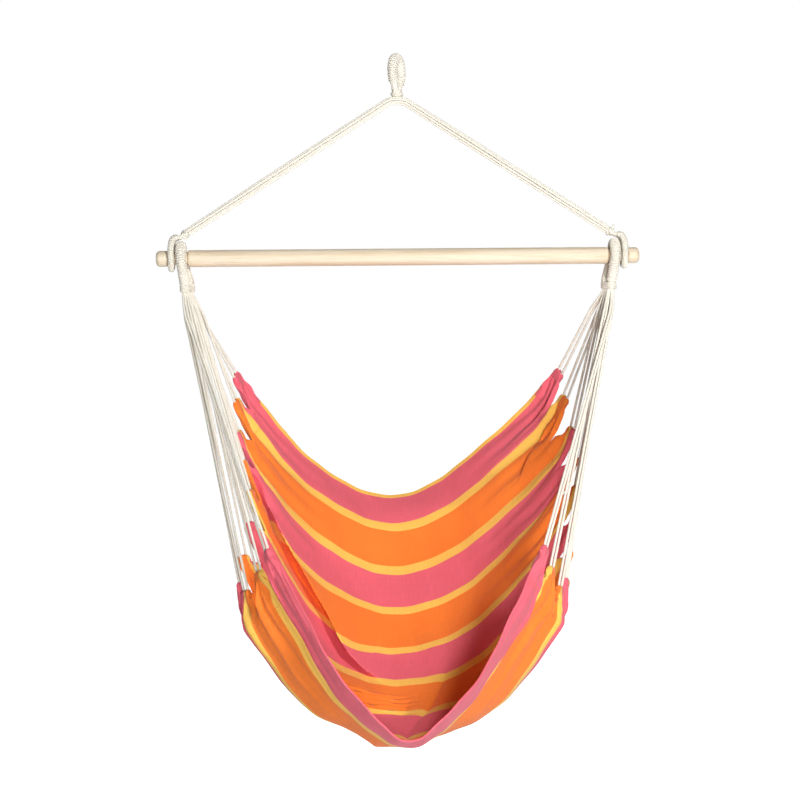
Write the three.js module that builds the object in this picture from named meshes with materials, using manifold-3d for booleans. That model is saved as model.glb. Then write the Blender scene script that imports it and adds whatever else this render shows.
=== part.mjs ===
// Hammock chair: a striped cotton seat hung by cord loops from a turned wooden spreader bar,
// and the bar hung by two cord legs from one whipped loop that goes over a ceiling hook.
// Millimetres. X runs along the bar, Y to the back, Z up. The origin is the seat of the hook,
// inside the top of the hanging loop.
import * as THREE from 'three';
import { mergeVertices } from 'three/addons/utils/BufferGeometryUtils.js';
import Module from 'manifold-3d';

const wasm = await Module();
wasm.setup();

// Clearances
const restGap = 0.3; // between pieces that touch
const hemGap = 0.5; // between a finger of the cloth and the cord in it
const turnGap = 0.5; // between an eye and the neck that it turns on
const eyeGap = 1; // between the two eyes on a neck
const knotGap = 12; // from the top of a seat eye up to the middle of the knot

// Cords
const cordDiameter = 5.5;
const cordPitch = 6.8; // spacing of seat cords packed side by side
const strandDiameter = 5;
const strandPitch = 5.4; // spacing of suspension strands packed side by side
const whippingDiameter = 2.6;
const fineWhippingDiameter = 2;

// Spreader bar
const barLength = 1000;
const barDiameter = 35;
const neckDiameter = 26;
const knobLength = 24;
const knobDiameter = 33;
const shoulderRadius = 4;
const knobEndRadius = 6;
const hookToBarHeight = 400;

// Hanging loop and the throat below it
const loopCoreDiameter = 15.6;
const loopHalfWidth = 23;
const loopStraightLength = 12; // parallel part below the arch
const loopTaperLength = 31; // where the two sides draw together
const loopFootLength = 3;
const loopTurnDegrees = -24; // degrees that the loop is turned about the upright
const loopWhippingTurns = 17;
const throatCoreDiameter = 21;
const throatBindingTurns = 2;
const throatBindingPitch = 3.1;
const bindingEndShare = 0.75; // of its cord, from a throat's end to the middle of the first turn

// Suspension legs, their knots and the thin eyes below them
const strands = 8;
const legBellyDepth = 1; // how far the strands of a leg stand apart at mid length
const strandStopShares = [1, 0.5, 0]; // points of a strand from the knot to the bend at the throat
const knotInsetLength = 8; // how far a knot stands inwards of the seat eye below it
const knotRadius = 9.8;
const knotLength = 12;
const knotTailLength = 6; // beyond the knot
const knotRoundShare = 0.33; // of its radius
const legEyeCoreDiameter = 8.9;
const legEyeReachLength = 23; // from knot to the place where the eye turns down beside the seat eye
const legWhippingTurns = 9;

// Seat eyes
const seatEyeCoreDiameter = 16.8;
const seatEyeHeight = 70; // from the bar's axis to where the cords fan out
const seatEyeShiftLength = 12; // how far the eye's foot hangs towards the middle
const seatEyeTwistDegrees = 32; // degrees that the eye's foot is turned, its back side inwards
const seatWhippingTurns = 16;
const seatBindingTurns = 4;
const seatBindingPitch = 3.2;
const bundleColumns = 4;

// Striped cloth, flat, and its stripes from the back edge to the lip
const clothThickness = 3;
const wideStripeWidth = 88;
const narrowStripeWidth = 21;
const edgeStripeWidth = 10; // at the back edge only
const wideStripes = 9;

// Fingers of the side hems, each with one cord loop in it
const fingers = 11;
const slitWidth = 8;
const fingerShare = 0.1; // how far the slits reach in, of half the cloth's width
const fingerWidth = 18; // at its top, where the cord gathers it
const endTipShare = 0.012; // of the cloth's length, from its end to the top of the end finger
const gatherDepth = 6;
const bendRadius = 8;

// How finely the round and soft forms are cut
const barSides = 24;
const tubeSides = 6;
const coreSides = 10;
const thinCoreSides = 8;
const knotSides = 16;
const eyeSteps = 30;
const bareSteps = 4; // steps of a core that stay bare at each end
const curlSteps = 8;
const curlSides = 5;
const archSteps = 6; // parts of a half circle
const bendSteps = 3; // parts of each bend of a cord loop
const profileSteps = 4; // parts of each round of the bar
const searchSteps = 40;
const clothColumns = 14;

// Cloth as it hangs, one station at each yellow stripe: a share of the cloth's length, the half
// widths to the left and right as shares of the bar's length, the depth and height of the side
// edges and of the middle as shares of the cloth's length, and the two exponents of the sag.
const stationShares = [
  {
    along: 0, left: 0.345, right: 0.347,
    edge: [0.155, -0.243], middle: [0.34, -0.524], sag: [1.9, 1.4],
  },
  {
    along: 0.112, left: 0.343, right: 0.356,
    edge: [0.124, -0.308], middle: [0.27, -0.593], sag: [1.9, 1.5],
  },
  {
    along: 0.225, left: 0.336, right: 0.368,
    edge: [0.082, -0.387], middle: [0.219, -0.686], sag: [2, 1.7],
  },
  {
    along: 0.337, left: 0.32, right: 0.368,
    edge: [0.041, -0.456], middle: [0.149, -0.771], sag: [2.1, 1.8],
  },
  {
    along: 0.449, left: 0.31, right: 0.36,
    edge: [0, -0.531], middle: [0.07, -0.847], sag: [2.2, 2],
  },
  {
    along: 0.561, left: 0.32, right: 0.348,
    edge: [-0.041, -0.608], middle: [-0.015, -0.907], sag: [2.4, 2.2],
  },
  {
    along: 0.674, left: 0.332, right: 0.334,
    edge: [-0.082, -0.68], middle: [-0.108, -0.954], sag: [2.5, 2.3],
  },
  {
    along: 0.786, left: 0.318, right: 0.315,
    edge: [-0.124, -0.702], middle: [-0.211, -0.988], sag: [2.3, 2.1],
  },
  {
    along: 0.899, left: 0.286, right: 0.29,
    edge: [-0.18, -0.653], middle: [-0.314, -0.99], sag: [1.7, 1.6],
  },
  {
    along: 1, left: 0.268, right: 0.272,
    edge: [-0.237, -0.605], middle: [-0.397, -0.967], sag: [1.3, 1.3],
  },
];
const sagRoundShare = 0.18; // how wide the middle of each row is rounded
const depthSagPower = 2.2; // exponent of the sag in depth
const slopeShare = 0.25; // of a finger's width, each way, over which the edge's slope is taken
const gatherStartShare = 0.5; // where the gathers of the side hems begin, out from the middle

// Worked out from the sizes above
const cordRadius = cordDiameter / 2;
const whippingRadius = whippingDiameter / 2;
const fineWhippingRadius = fineWhippingDiameter / 2;
const wideStripesLength = wideStripes * wideStripeWidth;
const narrowStripesLength = (wideStripes - 1) * narrowStripeWidth;
const clothLength = edgeStripeWidth + wideStripesLength + narrowStripesLength;
const barHeight = -hookToBarHeight;
const neckRadius = neckDiameter / 2;
const neckOut = barLength / 2 - knobLength;
const curlSpread = 1 / Math.cos(Math.PI / curlSteps); // so that the flats of a winding clear its core
const wrapRadius = (core, wire) => (core / 2 + restGap + wire / 2) * curlSpread + wire / 2;
const loopWrap = wrapRadius(loopCoreDiameter, whippingDiameter);
const seatWrap = wrapRadius(seatEyeCoreDiameter, whippingDiameter);
const legWrap = wrapRadius(legEyeCoreDiameter, fineWhippingDiameter);
const throatWrap = wrapRadius(throatCoreDiameter, whippingDiameter);
const legEyePlace = neckOut - restGap - legWrap;
const seatEyePlace = legEyePlace - legWrap - eyeGap - seatWrap;
const neckIn = seatEyePlace - seatWrap - eyeGap;
const legRing = neckRadius + turnGap + legWrap;
const seatRing = neckRadius + turnGap + seatWrap;
const knotPlace = seatEyePlace - knotInsetLength;
const knotHeight = seatRing + seatWrap + knotGap;

const cotton = new THREE.MeshStandardMaterial({ color: 0xf0eadb, roughness: 0.95, metalness: 0 });
const wood = new THREE.MeshStandardMaterial({ color: 0xe9d6b6, roughness: 0.55, metalness: 0 });
const cloth = new THREE.MeshStandardMaterial({ color: 0xe45f50, roughness: 0.9, metalness: 0 });

const vec = (x, y, z) => new THREE.Vector3(x, y, z);

// A point moved by a length along each of two directions.
function offset(point, first, firstLength, second, secondLength) {
  return point.clone().addScaledVector(first, firstLength).addScaledVector(second, secondLength);
}

// A closed mesh from rings of equal count, with a flat cap at each end.
function skinRings(rings) {
  const sides = rings[0].length;
  const points = rings.flat();
  const faces = [];
  for (let k = 0; k + 1 < rings.length; k += 1) {
    for (let j = 0; j < sides; j += 1) {
      const a = k * sides + j;
      const b = k * sides + ((j + 1) % sides);
      faces.push([a, b, b + sides], [a, b + sides, a + sides]);
    }
  }
  const last = (rings.length - 1) * sides;
  for (let j = 1; j + 1 < sides; j += 1) {
    faces.push([0, j + 1, j], [last, last + j, last + j + 1]);
  }
  return meshFrom(points, faces);
}

function meshFrom(points, faces) {
  const geometry = new THREE.BufferGeometry();
  const numbers = points.flatMap((p) => [p.x, p.y, p.z]);
  geometry.setAttribute('position', new THREE.Float32BufferAttribute(numbers, 3));
  geometry.setIndex(faces.flat());
  return geometry;
}

// Rings square to a path, with a frame that turns as little as it can from ring to ring.
function ringsAlong(path, radius, sides) {
  const tangents = path.map((p, i) => {
    const back = i > 0 ? p.clone().sub(path[i - 1]).normalize() : vec(0, 0, 0);
    const ahead = i + 1 < path.length ? path[i + 1].clone().sub(p).normalize() : vec(0, 0, 0);
    return back.add(ahead).normalize();
  });
  const start = Math.abs(tangents[0].x) < Math.SQRT1_2 ? vec(1, 0, 0) : vec(0, 1, 0);
  let side = start.clone().addScaledVector(tangents[0], -start.dot(tangents[0])).normalize();
  return path.map((p, i) => {
    side.addScaledVector(tangents[i], -side.dot(tangents[i])).normalize();
    const up = tangents[i].clone().cross(side);
    return Array.from({ length: sides }, (_, j) => {
      const angle = (2 * Math.PI * (j + 0.5)) / sides;
      return offset(p, side, radius * Math.cos(angle), up, radius * Math.sin(angle));
    });
  });
}

function tube(path, radius, sides) {
  return skinRings(ringsAlong(path, radius, sides));
}

// Smooth points along a curve through hand-set places.
function smooth(places, steps) {
  return new THREE.CatmullRomCurve3(places, false, 'centripetal').getSpacedPoints(steps);
}

// The same, with the first and last stretch left straight so that both ends are cut square.
function smoothBetweenEnds(places, steps) {
  return [places[0], ...smooth(places.slice(1, -1), steps), places[places.length - 1]];
}

function asSolid(geometry) {
  const bare = geometry.clone();
  bare.deleteAttribute('normal');
  bare.deleteAttribute('uv');
  const merged = mergeVertices(bare);
  return new wasm.Manifold(new wasm.Mesh({
    numProp: 3,
    vertProperties: Float32Array.from(merged.attributes.position.array),
    triVerts: Uint32Array.from(merged.index.array),
  }));
}

function asGeometry(solid) {
  const mesh = solid.getMesh();
  const geometry = new THREE.BufferGeometry();
  const numbers = Array.from(mesh.vertProperties);
  geometry.setAttribute('position', new THREE.Float32BufferAttribute(numbers, 3));
  geometry.setIndex(Array.from(mesh.triVerts));
  return geometry;
}

// One winding round a path: a helix of the given turns whose flats clear the core.
function winding(path, coreRadius, wireRadius, turns) {
  const centres = smooth(path, turns * curlSteps);
  const frames = ringsAlong(centres, coreRadius, 4);
  const reach = (coreRadius + restGap + wireRadius) * curlSpread;
  return centres.map((centre, i) => {
    const [a, b, c] = frames[i];
    const side = a.clone().sub(b).normalize();
    const up = b.clone().sub(c).normalize();
    const angle = (2 * Math.PI * i) / curlSteps;
    return offset(centre, side, reach * Math.cos(angle), up, reach * Math.sin(angle));
  });
}

// Turns round two upright cords side by side, which stand the given half distance from the axis.
function binding(coreRadius, halfApart, turns, pitch, top) {
  const reach = (coreRadius + restGap + whippingRadius) * curlSpread;
  return Array.from({ length: turns * curlSteps + 1 }, (_, i) => {
    const angle = (2 * Math.PI * (i + 0.5)) / curlSteps;
    const y = reach * Math.sin(angle) + Math.sign(Math.sin(angle)) * halfApart;
    return vec(reach * Math.cos(angle), y, top - (pitch * i) / curlSteps);
  });
}

// The same path with its two ends run on straight by one diameter.
function withStraightEnds(path, diameter) {
  const beyond = (end, inner) => {
    const outwards = end.clone().sub(inner).normalize();
    return end.clone().addScaledVector(outwards, diameter);
  };
  const first = beyond(path[0], path[1]);
  const last = beyond(path[path.length - 1], path[path.length - 2]);
  return [first, ...path, last];
}

// The least gap between parts of one wound tube that aren't neighbours along it.
function leastGap(name, path, radius) {
  let least = Infinity;
  for (let i = 0; i < path.length; i += 1) {
    for (let j = i + curlSteps / 2; j < path.length; j += 1) {
      least = Math.min(least, path[i].distanceTo(path[j]));
    }
  }
  console.log(`${name}: least gap to itself ${(least - 2 * radius).toFixed(2)} mm`);
}

// Spreader bar: one turned piece with a neck and a knob at each end.
function spreaderBar() {
  const half = barLength / 2;
  const profile = new THREE.Path();
  profile.moveTo(0, -half);
  profile.lineTo(knobDiameter / 2 - knobEndRadius, -half);
  profile.quadraticCurveTo(knobDiameter / 2, -half, knobDiameter / 2, -half + knobEndRadius);
  profile.lineTo(knobDiameter / 2, -neckOut - shoulderRadius);
  profile.quadraticCurveTo(knobDiameter / 2, -neckOut, neckRadius, -neckOut);
  profile.lineTo(neckRadius, -neckIn);
  profile.quadraticCurveTo(barDiameter / 2, -neckIn, barDiameter / 2, -neckIn + shoulderRadius);
  const side = profile.getPoints(profileSteps).map((p) => new THREE.Vector2(p.x, p.y));
  const mirrored = side.map((p) => new THREE.Vector2(p.x, -p.y)).reverse();
  const geometry = new THREE.LatheGeometry([...side, ...mirrored], barSides);
  geometry.rotateZ(-Math.PI / 2);
  geometry.translate(0, 0, barHeight);
  return geometry;
}

// Inverted U of a whipped eye in the YZ plane: feet, taper, arch.
function eyePath(halfWidth, footHalf, archTop, taperTop, taperFoot, foot) {
  const archFoot = archTop - halfWidth;
  const arch = Array.from({ length: archSteps - 1 }, (_, i) => {
    const angle = Math.PI - (Math.PI * (i + 1)) / archSteps;
    return vec(0, halfWidth * Math.cos(angle), archFoot + halfWidth * Math.sin(angle));
  });
  return [
    vec(0, -footHalf, foot),
    vec(0, -footHalf, taperFoot),
    vec(0, -halfWidth, taperTop),
    vec(0, -halfWidth, archFoot),
    ...arch,
    vec(0, halfWidth, archFoot),
    vec(0, halfWidth, taperTop),
    vec(0, footHalf, taperFoot),
    vec(0, footHalf, foot),
  ];
}

// Hanging loop and its whipping, and where the throat and the legs begin below it.
const loopFootHalf = loopCoreDiameter / 2 + restGap / 2;
const loopArchTop = loopWrap;
const loopTaperTop = loopArchTop - loopHalfWidth - loopStraightLength;
const loopTaperFoot = loopTaperTop - loopTaperLength;
const loopFoot = loopTaperFoot - loopFootLength;
const loopPath = eyePath(loopHalfWidth, loopFootHalf, loopArchTop, loopTaperTop, loopTaperFoot, loopFoot);
const throatTop = loopFoot - restGap;
const throatBindingHeight = throatBindingTurns * throatBindingPitch;
const throatFoot = throatTop - throatBindingHeight - 2 * bindingEndShare * whippingDiameter;
const strandRing = strandPitch / (2 * Math.sin(Math.PI / (strands - 1)));
const pivotHeight = throatFoot - restGap - strandRing - strandDiameter / 2;

function turned(geometry, degrees) {
  return geometry.rotateZ(THREE.MathUtils.degToRad(degrees));
}

function hangingLoop() {
  const centres = smoothBetweenEnds(loopPath, eyeSteps);
  const core = tube(centres, loopCoreDiameter / 2, coreSides);
  const whipped = centres.slice(bareSteps, -bareSteps);
  const coil = winding(whipped, loopCoreDiameter / 2, whippingRadius, loopWhippingTurns);
  leastGap('hanging loop whipping', coil, whippingRadius);
  const whipping = tube(withStraightEnds(coil, whippingDiameter), whippingRadius, curlSides);
  return { core: turned(core, loopTurnDegrees), whipping: turned(whipping, loopTurnDegrees) };
}

// Throat: a short upright bundle with its turns.
function throat() {
  const radius = throatCoreDiameter / 2;
  const core = tube([vec(0, 0, throatTop), vec(0, 0, throatFoot)], radius, knotSides);
  const top = throatTop - bindingEndShare * whippingDiameter;
  const turns = binding(radius, 0, throatBindingTurns, throatBindingPitch, top);
  leastGap('throat binding', turns, whippingRadius);
  return { core, bound: tube(turns, whippingRadius, curlSides) };
}

// Legs of the suspension
const knotCentre = (hand) => vec(hand * knotPlace, 0, barHeight + knotHeight);
const legDirection = (hand) => knotCentre(hand).sub(vec(hand * throatWrap, 0, pivotHeight)).normalize();

// Suspension strand: one unbroken cord from the left knot up, level under the throat, and down
// to the right knot. One strand runs in the middle and the others in a ring round it.
function strand(index) {
  const ringShare = index === 0 ? 0 : 1;
  const angle = (2 * Math.PI * index) / (strands - 1);
  const bend = vec(throatWrap, 0, pivotHeight);
  const along = knotCentre(1).sub(bend).normalize();
  const slope = Math.atan2(-along.z, along.x);
  const length = knotCentre(1).distanceTo(bend) - knotLength / 2 - restGap;
  const mitre = 1 / Math.cos(slope / 2);
  const half = strandStopShares.map((stop) => {
    const turn = stop === 0 ? slope / 2 : slope;
    const reach = ringShare * (strandRing + legBellyDepth * Math.sin(Math.PI * stop));
    const rise = reach * Math.sin(angle) * (stop === 0 ? mitre : 1);
    const place = bend.clone().addScaledVector(along, length * stop);
    const y = reach * Math.cos(angle);
    return vec(place.x + rise * Math.sin(turn), y, place.z + rise * Math.cos(turn));
  });
  const mirrored = half.map((p) => vec(-p.x, p.y, p.z));
  return tube([...mirrored, ...half.reverse()], strandDiameter / 2, tubeSides);
}

function knot(hand) {
  const half = knotLength / 2;
  const round = knotRadius * knotRoundShare;
  const profile = [
    new THREE.Vector2(0, -half),
    new THREE.Vector2(knotRadius - round, -half),
    new THREE.Vector2(knotRadius, -half + round),
    new THREE.Vector2(knotRadius, half - round),
    new THREE.Vector2(knotRadius - round, half),
    new THREE.Vector2(0, half),
  ];
  const barrel = new THREE.LatheGeometry(profile, knotSides);
  const towardsHook = legDirection(hand).negate();
  const turn = new THREE.Quaternion().setFromUnitVectors(vec(0, 1, 0), towardsHook);
  barrel.applyQuaternion(turn);
  const tailReach = knotRadius + knotTailLength;
  const upwards = vec(-towardsHook.z, 0, towardsHook.x).multiplyScalar(-hand * tailReach);
  const tail = tube([vec(0, 0, 0), upwards], strandDiameter / 2, tubeSides);
  const joined = asGeometry(asSolid(barrel).add(asSolid(tail)));
  const centre = knotCentre(hand);
  return joined.translate(centre.x, centre.y, centre.z);
}

// Suspension eye: from the knot down beside the seat eye, under the neck and back up.
function legEyePath(hand) {
  const along = legDirection(hand);
  const centre = knotCentre(hand);
  const footHalf = legEyeCoreDiameter / 2 + restGap / 2;
  const x = hand * legEyePlace;
  const start = centre.clone().addScaledVector(along, knotLength / 2 + restGap);
  const clear = start.clone().addScaledVector(along, legEyeCoreDiameter / 2);
  const bendX = hand * (knotPlace + legEyeReachLength);
  const bendZ = barHeight + knotHeight - legEyeCoreDiameter;
  const sideZ = barHeight + legRing;
  const under = Array.from({ length: archSteps - 1 }, (_, i) => {
    const angle = Math.PI + (Math.PI * (i + 1)) / archSteps;
    return vec(x, legRing * Math.cos(angle), barHeight + legRing * Math.sin(angle));
  });
  const down = [
    vec(start.x, -footHalf, start.z),
    vec(clear.x, -footHalf, clear.z),
    vec(bendX, -(footHalf + legRing) / 2, bendZ),
    vec(x, -legRing, sideZ),
    vec(x, -legRing, barHeight),
  ];
  const upAgain = down.map((p) => vec(p.x, -p.y, p.z)).reverse();
  return [...down, ...under, ...upAgain];
}

function legEye(hand) {
  const centres = smoothBetweenEnds(legEyePath(hand), eyeSteps);
  const core = tube(centres, legEyeCoreDiameter / 2, thinCoreSides);
  const whipped = centres.slice(bareSteps, -bareSteps);
  const coil = winding(whipped, legEyeCoreDiameter / 2, fineWhippingRadius, legWhippingTurns);
  leastGap('suspension eye whipping', coil, fineWhippingRadius);
  const whipping = tube(withStraightEnds(coil, fineWhippingDiameter), fineWhippingRadius, curlSides);
  return { core, whipping };
}

// Seat eye: over the neck and down to a bound foot, leaning towards the middle.
const seatFootHalf = seatEyeCoreDiameter / 2 + restGap / 2;
const seatFoot = barHeight - seatEyeHeight;
const seatTaperFoot = seatFoot + (seatBindingTurns + 1) * seatBindingPitch;

// Turns a point of an eye, given about the eye's own upright, as far as the eye twists there.
function twist(point, hand, share) {
  const angle = THREE.MathUtils.degToRad(hand * seatEyeTwistDegrees * share);
  return point.clone().applyAxisAngle(vec(0, 0, 1), angle);
}

// Leans an eye towards the middle of the bar, and twists it, both growing from the bar down.
function lean(point, hand) {
  const share = THREE.MathUtils.clamp((barHeight - point.z) / (barHeight - seatTaperFoot), 0, 1);
  const shift = hand * (seatEyePlace - seatEyeShiftLength * share);
  return twist(point, hand, share * share).add(vec(shift, 0, 0));
}

function seatEye(hand) {
  const archTop = barHeight + seatRing;
  const taperTop = barHeight - neckRadius;
  const path = eyePath(seatRing, seatFootHalf, archTop, taperTop, seatTaperFoot, seatFoot);
  const leaned = path.map((p) => lean(p, hand));
  const centres = smoothBetweenEnds(leaned, eyeSteps);
  const core = tube(centres, seatEyeCoreDiameter / 2, coreSides);
  const whipped = centres.slice(bareSteps, -bareSteps);
  const coil = winding(whipped, seatEyeCoreDiameter / 2, whippingRadius, seatWhippingTurns);
  leastGap('seat eye whipping', coil, whippingRadius);
  const top = seatTaperFoot - seatBindingPitch / 2;
  const turns = binding(seatEyeCoreDiameter / 2, seatFootHalf, seatBindingTurns, seatBindingPitch, top);
  const footPlace = vec(hand * (seatEyePlace - seatEyeShiftLength), 0, 0);
  const oval = turns.map((p) => twist(p, hand, 1).add(footPlace));
  leastGap('seat eye binding', oval, whippingRadius);
  return {
    core,
    whipping: tube(withStraightEnds(coil, whippingDiameter), whippingRadius, curlSides),
    bound: tube(oval, whippingRadius, curlSides),
  };
}

// Cloth as it hangs. The stations are joined by a uniform cubic through each of their values.
function spline(values, t) {
  const last = values.length - 1;
  const i = Math.min(Math.floor(t), last - 1);
  const f = t - i;
  const b = values[i];
  const c = values[i + 1];
  const a = i > 0 ? values[i - 1] : 2 * b - c;
  const d = i + 2 <= last ? values[i + 2] : 2 * c - b;
  const cubic = 3 * b - a - 3 * c + d;
  const square = 2 * a - 5 * b + 4 * c - d;
  return 0.5 * (2 * b + (c - a) * f + square * f * f + cubic * f * f * f);
}

const stationAt = (t, pick) => spline(stationShares.map(pick), t);

// The station index whose share of the cloth's length is the given one.
function stationOf(share) {
  let low = 0;
  let high = stationShares.length - 1;
  for (let i = 0; i < searchSteps; i += 1) {
    const mid = (low + high) / 2;
    if (stationAt(mid, (s) => s.along) < share) low = mid;
    else high = mid;
  }
  return (low + high) / 2;
}

// The share of the full sag at a place across: 1 in the middle and 0 at the side edges.
function sagAt(across, exponent) {
  const round = sagRoundShare ** exponent;
  const soft = (a) => (a * a + sagRoundShare * sagRoundShare) ** (exponent / 2) - round;
  return 1 - soft(Math.abs(across)) / soft(1);
}

// Place of the hanging cloth: across from -1 to 1, along in millimetres of flat cloth.
function clothPoint(across, along) {
  const t = stationOf(along / clothLength);
  const left = across < 0;
  const half = stationAt(t, (s) => (left ? s.left : s.right)) * barLength;
  const exponentLeft = stationAt(t, (s) => s.sag[0]);
  const exponentRight = stationAt(t, (s) => s.sag[1]);
  const blend = THREE.MathUtils.smoothstep(across, -sagRoundShare, sagRoundShare);
  const sag = sagAt(across, exponentLeft) * (1 - blend) + sagAt(across, exponentRight) * blend;
  const depthSag = 1 - Math.abs(across) ** depthSagPower;
  const edgeY = stationAt(t, (s) => s.edge[0]) * clothLength;
  const edgeZ = stationAt(t, (s) => s.edge[1]) * clothLength;
  const middleY = stationAt(t, (s) => s.middle[0]) * clothLength;
  const middleZ = stationAt(t, (s) => s.middle[1]) * clothLength;
  return vec(
    across * half,
    edgeY + (middleY - edgeY) * depthSag,
    barHeight + edgeZ + (middleZ - edgeZ) * sag,
  );
}

// Where a finger of the side hem stands: its middle on the edge, the pull of its cords,
// and the way across it, square to that pull.
const bundleFoot = (hand) => vec(hand * (seatEyePlace - seatEyeShiftLength), 0, seatFoot);
const fingerPitch = clothLength / fingers;

function fingerFrame(hand, index) {
  const tipShare = endTipShare + ((1 - 2 * endTipShare) * index) / (fingers - 1);
  const along = tipShare * clothLength;
  const middle = clothPoint(hand, along);
  const pull = bundleFoot(hand).sub(middle).normalize();
  const before = clothPoint(hand, along - fingerPitch * slopeShare);
  const after = clothPoint(hand, along + fingerPitch * slopeShare);
  const way = after.sub(before);
  const across = way.addScaledVector(pull, -way.dot(pull)).normalize();
  return { middle, pull, across };
}

// A finger's top: a straight edge square to the pull of its cords.
function fingerTop(hand, index, share) {
  const { middle, pull, across } = fingerFrame(hand, index);
  return middle.clone().addScaledVector(across, (share * fingerWidth) / 2);
}

// Seat cloth: one sheet with gathers and fingers at its sides, given its thickness. Each row has
// its place along the cloth and says whether the gathers stand out or in there.
function seatCloth() {
  const rows = [];
  for (let k = 0; k < fingers; k += 1) {
    const start = k * fingerPitch + (k > 0 ? slitWidth / 2 : 0);
    const end = (k + 1) * fingerPitch - (k < fingers - 1 ? slitWidth / 2 : 0);
    rows.push([start, -1], [(start + end) / 2, 1], [end, -1]);
  }
  const acrossAt = (i) => (1 - fingerShare) * (-1 + (2 * i) / clothColumns);
  const points = [];
  const faces = [];
  const square = new Map();
  const width = clothColumns + 1;
  rows.forEach(([along, ridge]) => {
    for (let i = 0; i < width; i += 1) {
      const across = acrossAt(i);
      const point = clothPoint(across, along);
      const growth = THREE.MathUtils.smoothstep(Math.abs(across), gatherStartShare, 1);
      points.push(point.setX(point.x + Math.sign(across) * ridge * gatherDepth * growth));
    }
  });
  for (let j = 0; j + 1 < rows.length; j += 1) {
    for (let i = 0; i + 1 < width; i += 1) {
      const a = j * width + i;
      faces.push([a, a + width, a + width + 1], [a, a + width + 1, a + 1]);
    }
  }
  for (const hand of [-1, 1]) {
    const edge = hand < 0 ? 0 : clothColumns;
    for (let k = 0; k < fingers; k += 1) {
      const tops = [-1, 0, 1].map((share) => points.push(fingerTop(hand, k, share)) - 1);
      const { pull, across } = fingerFrame(hand, k);
      tops.forEach((top) => square.set(top, pull.clone().cross(across)));
      const base = [3 * k, 3 * k + 1, 3 * k + 2].map((j) => j * width + edge);
      for (let s = 0; s < 2; s += 1) {
        const quad = hand < 0
          ? [[base[s], tops[s], tops[s + 1]], [base[s], tops[s + 1], base[s + 1]]]
          : [[base[s], tops[s + 1], tops[s]], [base[s], base[s + 1], tops[s + 1]]];
        faces.push(...quad);
      }
    }
  }
  return thicken(points, faces, clothThickness, square);
}

// A closed solid from an open sheet: both faces at half the thickness, and a wall at every edge.
// The square map gives the points at which the sheet is thickened along a given line.
function thicken(points, faces, thickness, square) {
  const normals = points.map(() => vec(0, 0, 0));
  for (const [a, b, c] of faces) {
    const first = points[b].clone().sub(points[a]);
    const second = points[c].clone().sub(points[a]);
    const normal = first.cross(second).normalize();
    normals[a].add(normal);
    normals[b].add(normal);
    normals[c].add(normal);
  }
  normals.forEach((n, i) => {
    if (square.has(i)) n.copy(square.get(i).multiplyScalar(Math.sign(n.dot(square.get(i)))));
    n.normalize();
  });
  const half = thickness / 2;
  const face = (sign) => points.map((p, i) => p.clone().addScaledVector(normals[i], sign * half));
  const count = points.length;
  const uses = new Map();
  for (const [a, b, c] of faces) {
    for (const [p, q] of [[a, b], [b, c], [c, a]]) uses.set(`${p}_${q}`, [p, q]);
  }
  const wall = [];
  for (const [p, q] of uses.values()) {
    if (!uses.has(`${q}_${p}`)) wall.push([q, p, p + count], [q, p + count, q + count]);
  }
  const under = faces.map(([a, b, c]) => [a + count, c + count, b + count]);
  return meshFrom([...face(1), ...face(-1)], [...faces, ...under, ...wall]);
}

// Slots of the cords at an eye's foot: rows of a few columns, from the back row to the front. A
// row is filled from outside where its first finger hangs further out than its last, and from
// inside where it doesn't, so that no cord crosses its neighbour.
function bundleSlot(hand, order) {
  const rows = Math.ceil((2 * fingers) / bundleColumns);
  const row = Math.floor(order / bundleColumns);
  const column = order % bundleColumns;
  const firstFinger = Math.floor((row * bundleColumns) / 2);
  const lastFinger = Math.min(firstFinger + Math.ceil(bundleColumns / 2), fingers) - 1;
  const firstOut = hand * fingerFrame(hand, firstFinger).middle.x;
  const lastOut = hand * fingerFrame(hand, lastFinger).middle.x;
  const way = firstOut < lastOut ? 1 : -1;
  const across = way * (column - (bundleColumns - 1) / 2) * cordPitch;
  const back = ((rows - 1) / 2 - row) * cordPitch;
  const foot = bundleFoot(hand);
  return twist(vec(hand * across, back, -restGap), hand, 1).add(foot);
}

// Seat cord: from the eye's foot down to its finger, along the finger's top and back up.
function seatCord(hand, index) {
  const first = bundleSlot(hand, 2 * index);
  const last = bundleSlot(hand, 2 * index + 1);
  const { middle, pull, across } = fingerFrame(hand, index);
  const rest = middle.clone().addScaledVector(pull, hemGap + cordRadius);
  const half = fingerWidth / 2;
  const corner = (sign, out, up) => offset(rest, across, sign * out, pull, up);
  const belowFoot = (slot) => slot.clone().setZ(slot.z - cordDiameter);
  const path = [first, belowFoot(first)];
  for (const sign of [-1, 1]) {
    for (let i = 0; i <= bendSteps; i += 1) {
      const angle = (Math.PI / 2) * (sign < 0 ? i / bendSteps : 1 - i / bendSteps);
      const out = half - bendRadius + bendRadius * Math.cos(angle);
      const up = bendRadius - bendRadius * Math.sin(angle);
      path.push(corner(sign, out, up));
    }
  }
  path.push(belowFoot(last), last);
  return tube(path, cordRadius, tubeSides);
}

const chair = new THREE.Group();

function add(name, geometry, material) {
  const mesh = new THREE.Mesh(geometry, material);
  mesh.name = name;
  chair.add(mesh);
}

const loop = hangingLoop();
add('hanging_loop_core', loop.core, cotton);
add('hanging_loop_whipping', loop.whipping, cotton);
const waist = throat();
add('throat_core', waist.core, cotton);
add('throat_binding', waist.bound, cotton);
for (let k = 0; k < strands; k += 1) {
  add(`suspension_strand_${k + 1}`, strand(k), cotton);
}
add('spreader_bar', spreaderBar(), wood);
add('seat_cloth', seatCloth(), cloth);

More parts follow.
